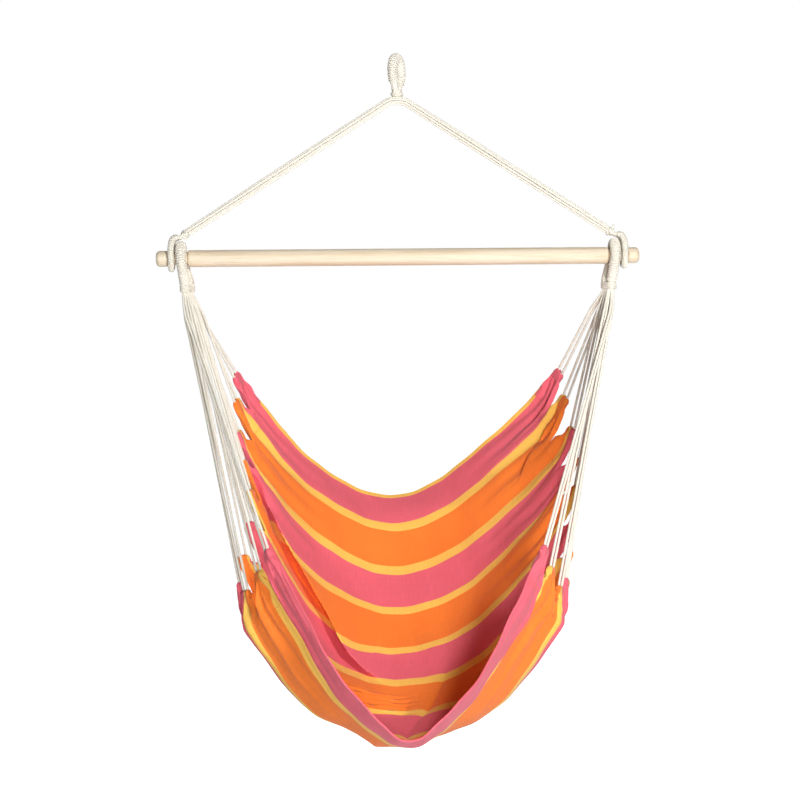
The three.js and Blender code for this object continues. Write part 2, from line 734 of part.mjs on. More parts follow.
for (const [side, hand] of [['left', -1], ['right', 1]]) {
  add(`${side}_leg_knot`, knot(hand), cotton);
  const legEnd = legEye(hand);
  add(`${side}_leg_eye_core`, legEnd.core, cotton);
  add(`${side}_leg_eye_whipping`, legEnd.whipping, cotton);
  const eye = seatEye(hand);
  add(`${side}_seat_eye_core`, eye.core, cotton);
  add(`${side}_seat_eye_whipping`, eye.whipping, cotton);
  add(`${side}_seat_eye_binding`, eye.bound, cotton);
  for (let k = 0; k < fingers; k += 1) {
    add(`${side}_seat_cord_${k + 1}`, seatCord(hand, k), cotton);
  }
}

export default chair;
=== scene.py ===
"""Hammock chair with a striped cotton seat, dressed over its packed CAD frame.

Everything is in metres in the frame of the CAD part: X along the spreader bar, Y to the back,
Z up, and the origin in the seat of the hook, inside the top of the hanging loop.
"""

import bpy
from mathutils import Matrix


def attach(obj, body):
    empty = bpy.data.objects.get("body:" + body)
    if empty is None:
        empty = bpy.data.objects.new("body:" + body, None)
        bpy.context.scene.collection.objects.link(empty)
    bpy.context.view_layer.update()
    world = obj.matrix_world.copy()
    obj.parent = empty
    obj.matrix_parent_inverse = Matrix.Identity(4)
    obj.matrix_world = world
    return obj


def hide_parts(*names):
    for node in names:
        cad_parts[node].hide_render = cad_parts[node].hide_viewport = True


bl_info = {
    "name": "Hammock chair",
    "version": (1, 0, 0),
    "blender": (4, 5, 0),
    "location": "View3D > Sidebar > Hammock",
    "description": "Builds a striped hammock chair on its spreader bar, with cords and studio",
    "category": "Object",
}

import math

import bpy
import numpy as np
from bpy.props import FloatProperty, FloatVectorProperty, PointerProperty
from mathutils import Matrix

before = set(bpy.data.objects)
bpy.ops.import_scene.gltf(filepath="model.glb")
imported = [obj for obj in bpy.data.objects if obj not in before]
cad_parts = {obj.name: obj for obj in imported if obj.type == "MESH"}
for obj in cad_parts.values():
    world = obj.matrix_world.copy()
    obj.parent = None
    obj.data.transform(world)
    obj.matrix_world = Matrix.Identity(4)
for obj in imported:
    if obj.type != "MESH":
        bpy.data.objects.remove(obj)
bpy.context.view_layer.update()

# Clearances and places that the cords share with the solids
REST_GAP = 0.0003
HEM_GAP = 0.0005
TURN_GAP = 0.0005
EYE_GAP = 0.001
KNOT_GAP = 0.012
WHIPPING = 0.0026
FINE_WHIPPING = 0.002
WRAP_SPREAD = 1 / math.cos(math.pi / 8)

# Hanging loop and throat
LOOP_CORE = 0.0156
LOOP_HALF_WIDTH = 0.023
LOOP_STRAIGHT = 0.012
LOOP_TAPER = 0.031
LOOP_FOOT = 0.003
LOOP_TURN = math.radians(-24)
LOOP_BARE = 0.021
THROAT_CORE = 0.021
THROAT_TURNS = 2
THROAT_PITCH = 0.0031
THROAT_OVERLAP = 0.002
THROAT_STEP = 0.0005
THROAT_TURN_WIDTH = 0.0032
# The throat's turns as they show, a little wider apart than those of the solid
THROAT_SHOWN_TURNS = THROAT_TURNS + 0.2
THROAT_SHOWN_PITCH = THROAT_PITCH * 1.02

# Bundles: sides of the tube, plies, how deep they part and the length in which they turn once
LOOP_BUNDLE = (28, 7, 0.16, 0.22)
THROAT_BUNDLE = (32, 8, 0.14, 0.3)
LEG_EYE_BUNDLE = (18, 5, 0.14, 0.12)
SEAT_EYE_BUNDLE = (28, 7, 0.14, 0.25)
HEART_BUNDLE = (16, 7, 0.12, 0.05)

# Suspension legs, knots and thin eyes
STRANDS = 8
STRAND_PITCH = 0.0054
LEG_BELLY = 0.001
KNOT_INSET = 0.008
KNOT_LENGTH = 0.012
KNOT_SIZE = 0.0108
KNOT_CORD_RADIUS = 0.0036
TAIL_SPAN = (0.002, 0.0165)
TAIL_PLY_DEPTH = 0.2
HEART_HALF_LENGTH = 0.0062
HEART_RADIUS = 0.0075
STRAND_PLY_DEPTH = 0.04
STRAND_STEP = 0.0028
# Points to either side that a strand's corners are rounded over
STRAND_ROUND = 3
LEG_EYE_CORE = 0.0089
LEG_EYE_REACH = 0.023
LEG_EYE_BARE = 0.012
FINE_TURN_HEIGHT = 0.0026

# Seat eyes
SEAT_EYE_CORE = 0.0168
SEAT_EYE_DROP = 0.070
SEAT_EYE_LEAN = 0.012
SEAT_EYE_TWIST = math.radians(32)
SEAT_EYE_BARE = 0.0165
SEAT_BINDING_TURNS = 4
SEAT_BINDING_PITCH = 0.0032
SEAT_TURN_WIDTH = 0.0033
BUNDLE_COLUMNS = 4
CORD_PITCH = 0.0068
CORD_STEP = 0.0029
CORD_PLY_DEPTH = 0.13
# Where a cord joins its straight run, and how far it runs up inside the eye's foot
CORD_JOIN = 0.09
CORD_HIDDEN = 0.014
CORD_LEVEL = 0.002

# Half the width of a turn as a share of its pitch: over 0.5, so that the turns meet
TURN_SHARE = 0.52
# Points of the path in one turn of a whipping and of a binding
TURN_STEPS = 22
BINDING_STEPS = 28
# How far the turns sink into their bundle, and the height of a binding's turn
TURN_SINK = 0.0004
FINE_TURN_SINK = 0.0003
BINDING_SINK = 0.0003
BINDING_HEIGHT = 0.0029

# Rounds of the turned bar
SHOULDER_ROUND = 0.0045
NECK_END_ROUND = 0.004
KNOB_ROUND = 0.009
BAR_SIDES = 64
# From the neck to the nearest ring of the bar's long even part
BAR_RING = 0.12

# Fingers of the side hems
FINGERS = 11
VISIBLE_SLIT = 0.002
FINGER_SHARE = 0.1
FINGER_WIDTH = 0.018
END_TIP_SHARE = 0.012
SLOPE_SHARE = 0.25
BEND_RADIUS = 0.008
TIP_WIDTH = 0.026
TIP_RISE = 0.0068
TIP_THICKNESS = 0.0125
FINGER_GATHER = 0.0042
# How strongly a finger leaves the sheet and arrives at its top, as shares of its length
FINGER_LEAVE = 0.5
FINGER_ARRIVE = 1.1
# Shares of a finger's length where it narrows, where its gathers grow and close, and where its
# top swells and ends in a round
FINGER_NARROWS = (0.30, 0.88)
FINGER_GATHERS = ((0.05, 0.5), (0.62, 0.93))
TIP_SWELLS = (0.55, 0.86)
TIP_ROUND = 0.10
TIP_END_THICKNESS = 0.0012
TIP_FLATNESS = 0.92
# Shares of a finger's length at its rows, closer together at the top
FINGER_STEPS = 1 - np.array([
    1, 0.90, 0.79, 0.67, 0.55, 0.44, 0.34, 0.25, 0.17, 0.11, 0.065, 0.032, 0.012, 0,
])

# Cloth as it hangs, one station at each yellow stripe: the share of the cloth's length, half
# widths left and right (m), depth and height of the side edges and of the middle as shares of
# the length, and the exponents of the sag to the left and right.
STATIONS = np.array([
    [0.000, 0.345, 0.347, 0.155, -0.243, 0.340, -0.524, 1.9, 1.4],
    [0.112, 0.343, 0.356, 0.124, -0.308, 0.270, -0.593, 1.9, 1.5],
    [0.225, 0.336, 0.368, 0.082, -0.387, 0.219, -0.686, 2.0, 1.7],
    [0.337, 0.320, 0.368, 0.041, -0.456, 0.149, -0.771, 2.1, 1.8],
    [0.449, 0.310, 0.360, 0.000, -0.531, 0.070, -0.847, 2.2, 2.0],
    [0.561, 0.320, 0.348, -0.041, -0.608, -0.015, -0.907, 2.4, 2.2],
    [0.674, 0.332, 0.334, -0.082, -0.680, -0.108, -0.954, 2.5, 2.3],
    [0.786, 0.318, 0.315, -0.124, -0.702, -0.211, -0.988, 2.3, 2.1],
    [0.899, 0.286, 0.290, -0.180, -0.653, -0.314, -0.990, 1.7, 1.6],
    [1.000, 0.268, 0.272, -0.237, -0.605, -0.397, -0.967, 1.3, 1.3],
])
SAG_ROUND = 0.18
DEPTH_SAG_POWER = 2.2
GATHER_START = 0.5
ROWS_PER_FINGER = 20
CLOTH_COLUMNS = 185

# Overlaps of the cloth: the line where the edge of the side in front shows, as places across
# and along the flat cloth in metres, how far each side is tucked, how sharply, and how far that
# reaches, the shares of the line where it starts and ends, and the side in front (1 for the
# side to the left of the line's way, -1 for the other). On the left the back of the seat lies
# in front of the wall, on the right the part below lies over the part above, and the lip lies
# over the stripe next to it.
LEFT_FOLD = {
    "line": np.array([
        [-0.500, 0.262], [-0.470, 0.290], [-0.444, 0.322], [-0.393, 0.352], [-0.352, 0.368],
        [-0.318, 0.392], [-0.256, 0.432], [-0.222, 0.468], [-0.184, 0.499], [-0.116, 0.530],
        [-0.050, 0.548],
    ]),
    "tuck": 0.046, "sharp": 0.007, "reach": 0.085,
    "start": (0.0, 0.12), "end": (0.72, 1.0), "front": -1,
}
RIGHT_FOLD = {
    "line": np.array([
        [0.490, 0.062], [0.462, 0.084], [0.447, 0.101], [0.430, 0.117], [0.414, 0.127],
        [0.393, 0.141], [0.368, 0.162], [0.330, 0.200],
    ]),
    "tuck": 0.018, "sharp": 0.005, "reach": 0.050,
    "start": (0.0, 0.15), "end": (0.45, 1.0), "front": -1,
}
LIP_FOLD = {
    "line": np.array([[0.09, 0.882], [0.47, 0.882]]),
    "tuck": 0.032, "sharp": 0.0035, "reach": 0.15,
    "start": (0.0, 0.45), "end": (0.9, 1.0), "front": 1,
}
# How far each layer of the overlaps stands off the hanging form: on the left the part in front
# and the wall behind it, and elsewhere both alike
LEFT_FRONT_STAND = 0.010
LEFT_WALL_STAND = 0.034
RIGHT_STAND = 0.006
LIP_STAND = 0.003
# Shares by which the left and right hem hold the overlaps back, where on the way to the hem
# that starts and is full, and where along the cloth the lip's own overlap fades
HEM_HOLD = (0.6, 0.7)
HEM_HOLD_SPAN = (0.80, 0.9)
LIP_FADE = (0.895, 0.955)
# Folds that run across the cloth: height and distance apart in metres, and slant
FRONT_PULLS = (0.0020, 0.0135, 5)
LIP_PULLS = (0.0012, 0.021, -6)
BOTTOM_FOLDS = (0.0050, 0.0155, 7)
# Heights of the ridges at the fingers and of the unevenness
FAN_HEIGHT = 0.0026
SPREAD_HEIGHT = 0.0022
BROAD_HEIGHT = 0.0035
FINE_HEIGHT = 0.0016
# How far the front wall bulges outwards, and the low corner and the crease of the bottom
LEFT_BELLY = 0.026
RIGHT_BELLY = 0.028
BELLY_ALONG = ((0.58, 0.70), (0.76, 0.90))
BELLY_ASIDE = ((0.1, 0.65), (0.90, 1.03))
LOW_CORNER = 0.021
LOW_CORNER_PLACE = (-0.21, 0.81)
LOW_CORNER_REACH = (0.17, 0.07)
CREASE_DEPTH = 0.009
CREASE_WIDTH = 0.014
BOTTOM_CREASE = np.array([[-0.006, 0.80], [0.001, 0.734], [0.070, 0.642], [0.115, 0.560], [0.150, 0.47]])

# From the cloth's end, where its end hems go over to the plain cloth
END_HEM = (0.009, 0.013)
# Round the start of a side hem, as shares of half the cloth, where it grows thicker
SIDE_HEM = (-0.006, 0.004)
# How far past the yellow edge the hems show on the left and right, and stitches of the side hems
COVERED_EDGE = 0.0015
NARROWED_EDGE = 0.004
STITCH_PITCH = 0.0052
STITCH_LENGTH = 0.0034
STITCH_RADIUS = 0.00042
STITCH_SHARES = np.array([0.0, 0.25, 0.75, 1.0])
STITCH_LIFTS = (-0.0004, 0.0002, 0.0002, -0.0004)

# Looks: distance of the weave's threads as drawn, lay of the twine and relief of the cords
WEAVE_PITCH = 0.0024
TWINE_LAY = 0.012
CORD_RELIEF = 0.04

# Studio
FLOOR_HEIGHT = -1.72
FLOOR_HALF_SIZE = 60.0
FLOOR_CORNERS = ((-1, -1), (1, -1), (1, 1), (-1, 1))
LAMP_TARGET = (0, 0, -0.95)
# Name, place, size and power of each lamp
LAMPS = (
    ("key_lamp", (1.16, -3.18, 0.28), 0.45, 76),
    ("fill_lamp", (0.45, -5.20, -1.25), 0.9, 134),
    ("low_lamp", (-2.6, -3.2, -1.65), 1.0, 26),
    ("back_lamp", (1.4, 4.4, 0.5), 1.4, 95),
)
# Camera of the photograph, found from the bar and the hook
SENSOR_WIDTH = 36
PHOTO_WIDTH_PIXELS = 800
FOCAL_LENGTH_PIXELS = 2029
CAMERA_TURN = math.radians(-2)
CAMERA_ROLL = math.radians(-0.6)
CAMERA_DISTANCE = 4.2
CAMERA_HEIGHT = -0.696


def linear(code):
    """Linear RGB of an sRGB hex value."""
    parts = np.array([int(code[i:i + 2], 16) for i in (1, 3, 5)]) / 255
    low = parts / 12.92
    high = ((parts + 0.055) / 1.055) ** 2.4
    return tuple(float(x) for x in np.where(parts <= 0.04045, low, high))


def length_property(name, description, default):
    return FloatProperty(
        name=name, description=description, default=default, min=0.0001, unit="LENGTH",
        subtype="DISTANCE", precision=4,
    )


def colour_property(name, description, code):
    return FloatVectorProperty(
        name=name, description=description, default=linear(code), min=0, max=1, size=3, subtype="COLOR"
    )


class HammockBarSizes(bpy.types.PropertyGroup):
    """Sizes of the spreader bar"""

    length: length_property("Length", "Length of the bar over both knobs", 1.0)
    diameter: length_property("Diameter", "Diameter of the bar between the necks", 0.035)
    neck: length_property("Neck", "Diameter of the neck that the eyes go round", 0.026)
    knob: length_property("Knob", "Diameter of the knob at each end", 0.033)
    knob_length: length_property("Knob length", "Length of each knob", 0.024)
    hook_to_bar: length_property("Hook to bar", "From the hook down to the bar's axis", 0.4)


class HammockCordSizes(bpy.types.PropertyGroup):
    """Sizes of the cords and whippings"""

    seat_cord: length_property("Seat cord", "Diameter of a seat cord", 0.0055)
    strand: length_property("Strand", "Diameter of a suspension strand", 0.005)
    lay: length_property("Lay", "Length in which the plies of a cord turn once", 0.016)
    turn_width: length_property("Turn width", "Width of one turn of a whipping", 0.0043)
    turn_height: length_property("Turn height", "Height of one turn of a whipping", 0.0030)
    fine_turn: length_property("Fine turn", "Width of one turn on the thin eyes", 0.0034)


class HammockClothSizes(bpy.types.PropertyGroup):
    """Sizes of the striped cloth"""

    thickness: length_property("Thickness", "Thickness of the cloth", 0.0018)
    hem: length_property("Hem", "Thickness of the sewn hems", 0.0034)
    hem_width: length_property("Hem width", "Width of the folded side hems", 0.058)
    wide: length_property("Wide stripe", "Width of a pink or orange stripe", 0.088)
    narrow: length_property("Narrow stripe", "Width of a yellow stripe", 0.021)
    edge: length_property("Edge stripe", "Width of the yellow edge at the back", 0.010)
    gather: length_property("Gather", "How far the gathers stand out at the fingers", 0.006)


class HammockColours(bpy.types.PropertyGroup):
    """Colours of the cloth, the cords and the wood"""

    pink: colour_property("Pink", "Wide stripes of dyed cotton", "#EE6A7A")
    orange: colour_property("Orange", "Wide stripes of dyed cotton", "#FD8432")
    yellow: colour_property("Yellow", "Narrow stripes of dyed cotton", "#FFCB5E")
    cord: colour_property("Cord", "Undyed cotton cord", "#EBE7DC")
    wood: colour_property("Wood", "Pale turned wood", "#E8DAC3")
    thread: colour_property("Thread", "Sewing thread of the hems", "#F2792E")


GROUPS = {
    "hammock_bar": HammockBarSizes,
    "hammock_cords": HammockCordSizes,
    "hammock_cloth": HammockClothSizes,
    "hammock_colours": HammockColours,
}


# Shapes

def unit(vectors):
    """Each vector divided by its own length."""
    return vectors / np.maximum(np.linalg.norm(vectors, axis=-1, keepdims=True), 1e-12)


def square_to(vectors, tangent):
    """Unit vectors of the parts of the vectors that are square to the tangents."""
    return unit(vectors - (vectors * tangent).sum(-1, keepdims=True) * tangent)


def smoothstep(x, low, high):
    """3t^2 - 2t^3, with t the share of the way from low to high, kept between 0 and 1."""
    t = np.clip((np.asarray(x, float) - low) / (high - low), 0, 1)
    return t * t * (3 - 2 * t)


def window(x, rise, fall):
    """Goes from 0 to 1 in the span of rise, and back to 0 in the span of fall."""
    return smoothstep(x, *rise) * (1 - smoothstep(x, *fall))


def cubic(start, start_slope, end, end_slope, t):
    """The cubic from start to end with the given slopes, at the shares t of the way."""
    return (
        (2 * t**3 - 3 * t**2 + 1) * start
        + (t**3 - 2 * t**2 + t) * start_slope
        + (3 * t**2 - 2 * t**3) * end
        + (t**3 - t**2) * end_slope
    )


def run_length(path):
    """Length along a path up to each of its points."""
    steps = np.linalg.norm(np.diff(path, axis=0), axis=1)
    return np.concatenate([[0], np.cumsum(steps)])


def places_at(at, run, path):
    """The path's places where its run is as given."""
    return np.stack([np.interp(at, run, path[:, k]) for k in range(3)], axis=1)


def even_steps(path, step):
    """The same path cut into even steps of about the given length."""
    run = run_length(path)
    count = max(2, int(round(run[-1] / step)) + 1)
    return places_at(np.linspace(0, run[-1], count), run, path)


def smooth_path(places, step=0.001):
    """Curve through the places, in even steps. Between two places it is the cubic whose slopes
    come from the neighbours, weighted by the square root of their distance."""
    p = np.asarray(places, float)
    p = np.concatenate([[2 * p[0] - p[1]], p, [2 * p[-1] - p[-2]]])
    a, b, c, d = p[:-3], p[1:-2], p[2:-1], p[3:]
    ab, bc, cd = (np.sqrt(np.linalg.norm(q - r, axis=1))[:, None] for q, r in ((a, b), (b, c), (c, d)))
    start = ((b - a) / ab - (c - a) / (ab + bc) + (c - b) / bc) * bc
    end = ((c - b) / bc - (d - b) / (bc + cd) + (d - c) / cd) * bc
    t = np.linspace(0, 1, 60, endpoint=False)[None, :, None]
    curve = cubic(b[:, None], start[:, None], c[:, None], end[:, None], t).reshape(-1, 3)
    return even_steps(np.concatenate([curve, p[-2:-1]]), step)


def smooth_between_ends(places, step=0.001):
    """A smooth path whose first and last stretch stay straight."""
    inner = smooth_path(places[1:-1], step)
    return even_steps(np.concatenate([places[:1], inner, places[-1:]]), step)


def rounded_corners(corners, step, reach):
    """Even steps along straight runs, each point the mean of itself and the `reach` points to
    either side of it, which rounds the corners inwards; the ends stay."""
    path = even_steps(corners, step)
    before = 2 * path[0] - path[reach:0:-1]
    after = 2 * path[-1] - path[-2:-reach - 2:-1]
    padded = np.concatenate([before, path, after])
    return sum(padded[k:k + len(path)] for k in range(2 * reach + 1)) / (2 * reach + 1)


def half_circle(way):
    """The five angles pi + way pi k / 6 inside a half circle."""
    return np.pi + way * np.pi * np.arange(1, 6) / 6


def tube_corners(rows, sides):
    """Row and column of the four corners of each face of a tube grid."""
    row, column = (part.reshape(-1, 1) for part in np.indices((rows - 1, sides)))
    return row + [0, 0, 1, 1], column + [0, 1, 1, 0]


def grid_part(points, around, along):
    """A closed tube from rows of points, with a fan at each end: its points, and its groups of
    faces with their UV maps, the share round the tube and the length along it in metres."""
    rows, sides = points.shape[:2]
    row, column = tube_corners(rows, sides)
    quads = row * sides + column % sides
    maps = np.stack([around[column], along[row]], axis=-1)
    first = np.arange(sides)
    second = (first + 1) % sides
    last = (rows - 1) * sides
    low = np.stack([np.full(sides, rows * sides), second, first], axis=1)
    high = np.stack([np.full(sides, rows * sides + 1), last + first, last + second], axis=1)
    cap_maps = np.zeros((2 * sides, 3, 2))
    cap_maps[..., 0] = np.tile(around[:-1], 2)[:, None]
    cap_maps[sides:, :, 1] = along[-1]
    vertices = np.concatenate([points.reshape(-1, 3), points[[0, -1]].mean(1)])
    return vertices, [(quads, maps), (np.concatenate([low, high]), cap_maps)]


def swept(path, side, side_radius, up_radius, sides, k=1.0, tangent=None):
    """A tube along a path. A point at length s and angle a is path(s) + k (side r cos a +
    up q sin a), where side is square to the tangent, up is tangent cross side, and r and q are
    the two radii."""
    tangent = unit(np.gradient(path, axis=0)) if tangent is None else tangent
    side = square_to(np.broadcast_to(np.asarray(side, float), path.shape), tangent)
    up = np.cross(tangent, side)
    angle = np.linspace(0, 2 * np.pi, sides + 1)
    a = angle[None, :-1]
    points = path[:, None] + (k * side_radius * np.cos(a))[..., None] * side[:, None]
    points = points + (k * up_radius * np.sin(a))[..., None] * up[:, None]
    return grid_part(points, angle / (2 * np.pi), run_length(path))


def twisted_tube(path, side, radius, sides, lobes, depth, lay):
    """A round tube with k = 1 - depth (1 - |cos(lobes/2 (a - 2 pi s / lay))|) for its plies."""
    a = np.linspace(0, 2 * np.pi, sides + 1)[None, :-1]
    turn = a - 2 * np.pi * run_length(path)[:, None] / lay
    k = 1 - depth * (1 - np.abs(np.cos(lobes / 2 * turn)))
    return swept(path, side, radius, radius, sides, k)


def close_turns(core_path, reference, core_radius, width, height):
    """A cord wound closely round a core: its middle is core(s) + (core radius + half height)
    (side cos 2 pi n + up sin 2 pi n) at turn n, and its section an oval that lies flat on it."""
    steps = TURN_STEPS
    turns = run_length(core_path)[-1] / width
    count = int(turns * steps) + 1
    share = np.linspace(0, 1, count)
    centre = places_at(share * (len(core_path) - 1), np.arange(len(core_path)), core_path)
    tangent = unit(np.gradient(centre, axis=0))
    side = square_to(np.broadcast_to(np.asarray(reference, float), centre.shape), tangent)
    angle = 2 * np.pi * turns * share[:, None]
    outward = np.cos(angle) * side + np.sin(angle) * np.cross(tangent, side)
    path = centre + outward * (core_radius + height / 2)
    # The turns lie against each other, so each is as wide as the next one is far.
    apart = np.linalg.norm(path[steps:] - path[:-steps], axis=1)
    wide = np.concatenate([np.full(steps // 2, apart[0]), apart, np.full(steps - steps // 2, apart[-1])])
    return swept(path, outward, height / 2, wide[:count, None] * TURN_SHARE, 8)


def binding(core_radius, half_apart, turns, pitch, top, width):
    """Turns round two upright cords side by side: (r cos a, r sin a + sign(sin a) h, top - p a)."""
    angle = np.linspace(0, 2 * np.pi * turns, int(turns * BINDING_STEPS) + 1)
    reach = core_radius - BINDING_SINK + BINDING_HEIGHT / 2
    shift = np.tanh(6 * np.sin(angle)) * half_apart
    drop = pitch * angle / (2 * np.pi)
    path = np.stack([reach * np.cos(angle), reach * np.sin(angle) + shift, top - drop], axis=1)
    outward = np.stack([np.cos(angle), np.sin(angle), 0 * angle], axis=1)
    return swept(path, outward, BINDING_HEIGHT / 2, width / 2, 8)


def moved(part, change):
    """The same part with its points changed by a function."""
    return change(part[0]), part[1]


def turned_about_z(points, angle):
    """x cos - y sin, x sin + y cos, z."""
    c, s = np.cos(angle), np.sin(angle)
    x, y = points[..., 0], points[..., 1]
    return np.stack([x * c - y * s, x * s + y * c, points[..., 2]], axis=-1)


def piece(name, parts, body, slot, replaced, material=None, crease=None):
    """One object from its parts, riding on a body and standing for the given solids. Its
    material is the slot's unless another is given."""
    faces, maps, start = [], [], 0
    for points, groups in parts:
        for corners, places in groups:
            faces += (corners + start).tolist()
            maps.append(places.reshape(-1, 2))
        start += len(points)
    mesh = bpy.data.meshes.new(name)
    mesh.from_pydata(np.concatenate([points for points, _ in parts]).tolist(), [], faces)
    layer = mesh.uv_layers.new(name="UVMap")
    layer.data.foreach_set("uv", np.concatenate(maps).astype(np.float32).ravel())
    mesh.polygons.foreach_set("use_smooth", np.ones(len(mesh.polygons), bool))
    if crease is not None:
        mesh.set_sharp_from_angle(angle=math.radians(crease))
    mesh.materials.append(material or slot_material(slot))
    mesh.validate()
    mesh.update()
    made = bpy.data.objects.new(name, mesh)
    bpy.context.scene.collection.objects.link(made)
    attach(made, body)
    if replaced:
        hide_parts(*replaced)
    return made


# Materials

def add_node(tree, kind, inputs=None, **settings):
    """Adds a node with its settings, and its inputs as values or as links from other sockets."""
    made = tree.nodes.new(kind)
    for key, value in settings.items():
        setattr(made, key, value)
    for key, value in (inputs or {}).items():
        if isinstance(value, bpy.types.NodeSocket):
            tree.links.new(value, made.inputs[key])
        else:
            made.inputs[key].default_value = value
    return made


def calculated(tree, operation, *values):
    """The output of a math node whose inputs are numbers or other outputs."""
    return add_node(tree, "ShaderNodeMath", dict(enumerate(values)), operation=operation).outputs[0]


def noise(tree, vector, scale, detail, roughness=0.5, distortion=0.0):
    """The output of a noise texture."""
    inputs = {"Vector": vector, "Scale": scale, "Detail": detail, "Roughness": roughness}
    inputs["Distortion"] = distortion
    return add_node(tree, "ShaderNodeTexNoise", inputs).outputs["Fac"]


def stretched(tree, vector, scale):
    """A place multiplied by a scale for each axis."""
    return add_node(tree, "ShaderNodeMapping", {"Vector": vector, "Scale": scale}).outputs[0]


def mixed(tree, share, first, second, blend="MIX"):
    """The output of two colours mixed by a share."""
    return add_node(tree, "ShaderNodeMixRGB", {0: share, 1: first, 2: second}, blend_type=blend).outputs[0]


def ramp(tree, share, stops, interpolation="LINEAR"):
    """Colours by a share from 0 to 1: each stop is a place and a colour with its alpha."""
    made = add_node(tree, "ShaderNodeValToRGB", {0: share})
    elements = made.color_ramp.elements
    made.color_ramp.interpolation = interpolation
    for index, (at, colour) in enumerate(stops):
        element = elements[index] if index < 2 else elements.new(at)
        element.position = at
        element.color = colour
    return made.outputs[0]


def bumped(tree, height, strength, distance):
    """The normal that a height in the material gives."""
    inputs = {"Height": height, "Strength": strength, "Distance": distance}
    return add_node(tree, "ShaderNodeBump", inputs).outputs["Normal"]


def faded(colour, shares):
    """The colour with each part multiplied by its share, and its alpha."""
    return (*(x * y for x, y in zip(colour, shares)), 1)


def new_material(name):
    """An empty material and its node tree."""
    material = bpy.data.materials.new(name)
    material.use_nodes = True
    material.node_tree.nodes.clear()
    return material, material.node_tree


def add_shader(tree, inputs):
    """The shader with its inputs, joined to the material's output."""
    shader = add_node(tree, "ShaderNodeBsdfPrincipled", inputs)
    add_node(tree, "ShaderNodeOutputMaterial", {"Surface": shader.outputs["BSDF"]})


def flat_place(tree):
    """The UV map's output and its two parts."""
    uv = add_node(tree, "ShaderNodeUVMap", uv_map="UVMap").outputs["UV"]
    split = add_node(tree, "ShaderNodeSeparateXYZ", {0: uv})
    return uv, split.outputs["X"], split.outputs["Y"]


def cotton_cord_material(name, colour, lay, groove_shade):
    """Undyed cotton cord, twisted from three plies: matt, with soft grooves, painted shade in their
    bottoms, and loose fibres.
    """
    material, tree = new_material(name)
    place = add_node(tree, "ShaderNodeTexCoord").outputs["Object"]
    _, around, along = flat_place(tree)
    angle = calculated(tree, "ADD", around, calculated(tree, "MULTIPLY", along, -1 / lay))
    wave = calculated(tree, "PINGPONG", calculated(tree, "MULTIPLY", angle, 3.0), 0.5)
    deep = calculated(tree, "MULTIPLY", wave, 2.0)
    # Painted shade: the colour darkens towards the bottom of each groove between the plies, by the given
    # strength.
    groove_shade_share = calculated(tree, "MULTIPLY", calculated(tree, "POWER", deep, 4.0), groove_shade)
    # Fibres are a few hundredths of a millimetre; they are drawn 2.5 mm wide to show.
    fibres = noise(tree, place, 400.0, 2.0)
    patches = noise(tree, place, 28.0, 2.0)
    base = mixed(tree, groove_shade_share, (*colour, 1), faded(colour, (0.72, 0.66, 0.56)))
    height = calculated(tree, "MULTIPLY", deep, -0.8)
    add_shader(tree, {
        "Base Color": mixed(tree, patches, base, faded(colour, (0.96, 0.94, 0.90))),
        "Normal": bumped(tree, calculated(tree, "ADD", height, fibres), CORD_RELIEF, 0.0005),
        "Roughness": 0.92, "Specular IOR Level": 0.25, "Sheen Weight": 0.12,
    })
    return material


def turned_wood_material(colour):
    """Turned and sanded pale softwood without varnish: long faint grain, small flecks."""
    material, tree = new_material("Turned pale wood")
    place = add_node(tree, "ShaderNodeTexCoord").outputs["Object"]
    grain = noise(tree, stretched(tree, place, (3.0, 90.0, 90.0)), 1.0, 5.0, 0.6, 0.4)
    pores = noise(tree, stretched(tree, place, (14.0, 500.0, 500.0)), 1.0, 3.0)
    bands = ramp(tree, grain, [(0.32, faded(colour, (0.88, 0.82, 0.74))), (0.6, (*colour, 1))])
    streaks = ramp(tree, pores, [(0.30, (0.72, 0.60, 0.47, 1)), (0.50, (1, 1, 1, 1))])
    add_shader(tree, {
        "Base Color": mixed(tree, 0.45, bands, streaks, "MULTIPLY"),
        "Normal": bumped(tree, pores, 0.12, 0.0004),
        "Roughness": 0.52, "Specular IOR Level": 0.4,
    })
    return material


def stripe_stops(cloth, colours):
    """Places in metres and colours of the stripes from the back edge to the lip."""
    stops = [(0.0, colours.yellow)]
    at = cloth.edge
    for index in range(9):
        stops.append((at, colours.orange if index % 2 else colours.pink))
        at += cloth.wide
        if index < 8:
            stops.append((at, colours.yellow))
            at += cloth.narrow
    return stops, at


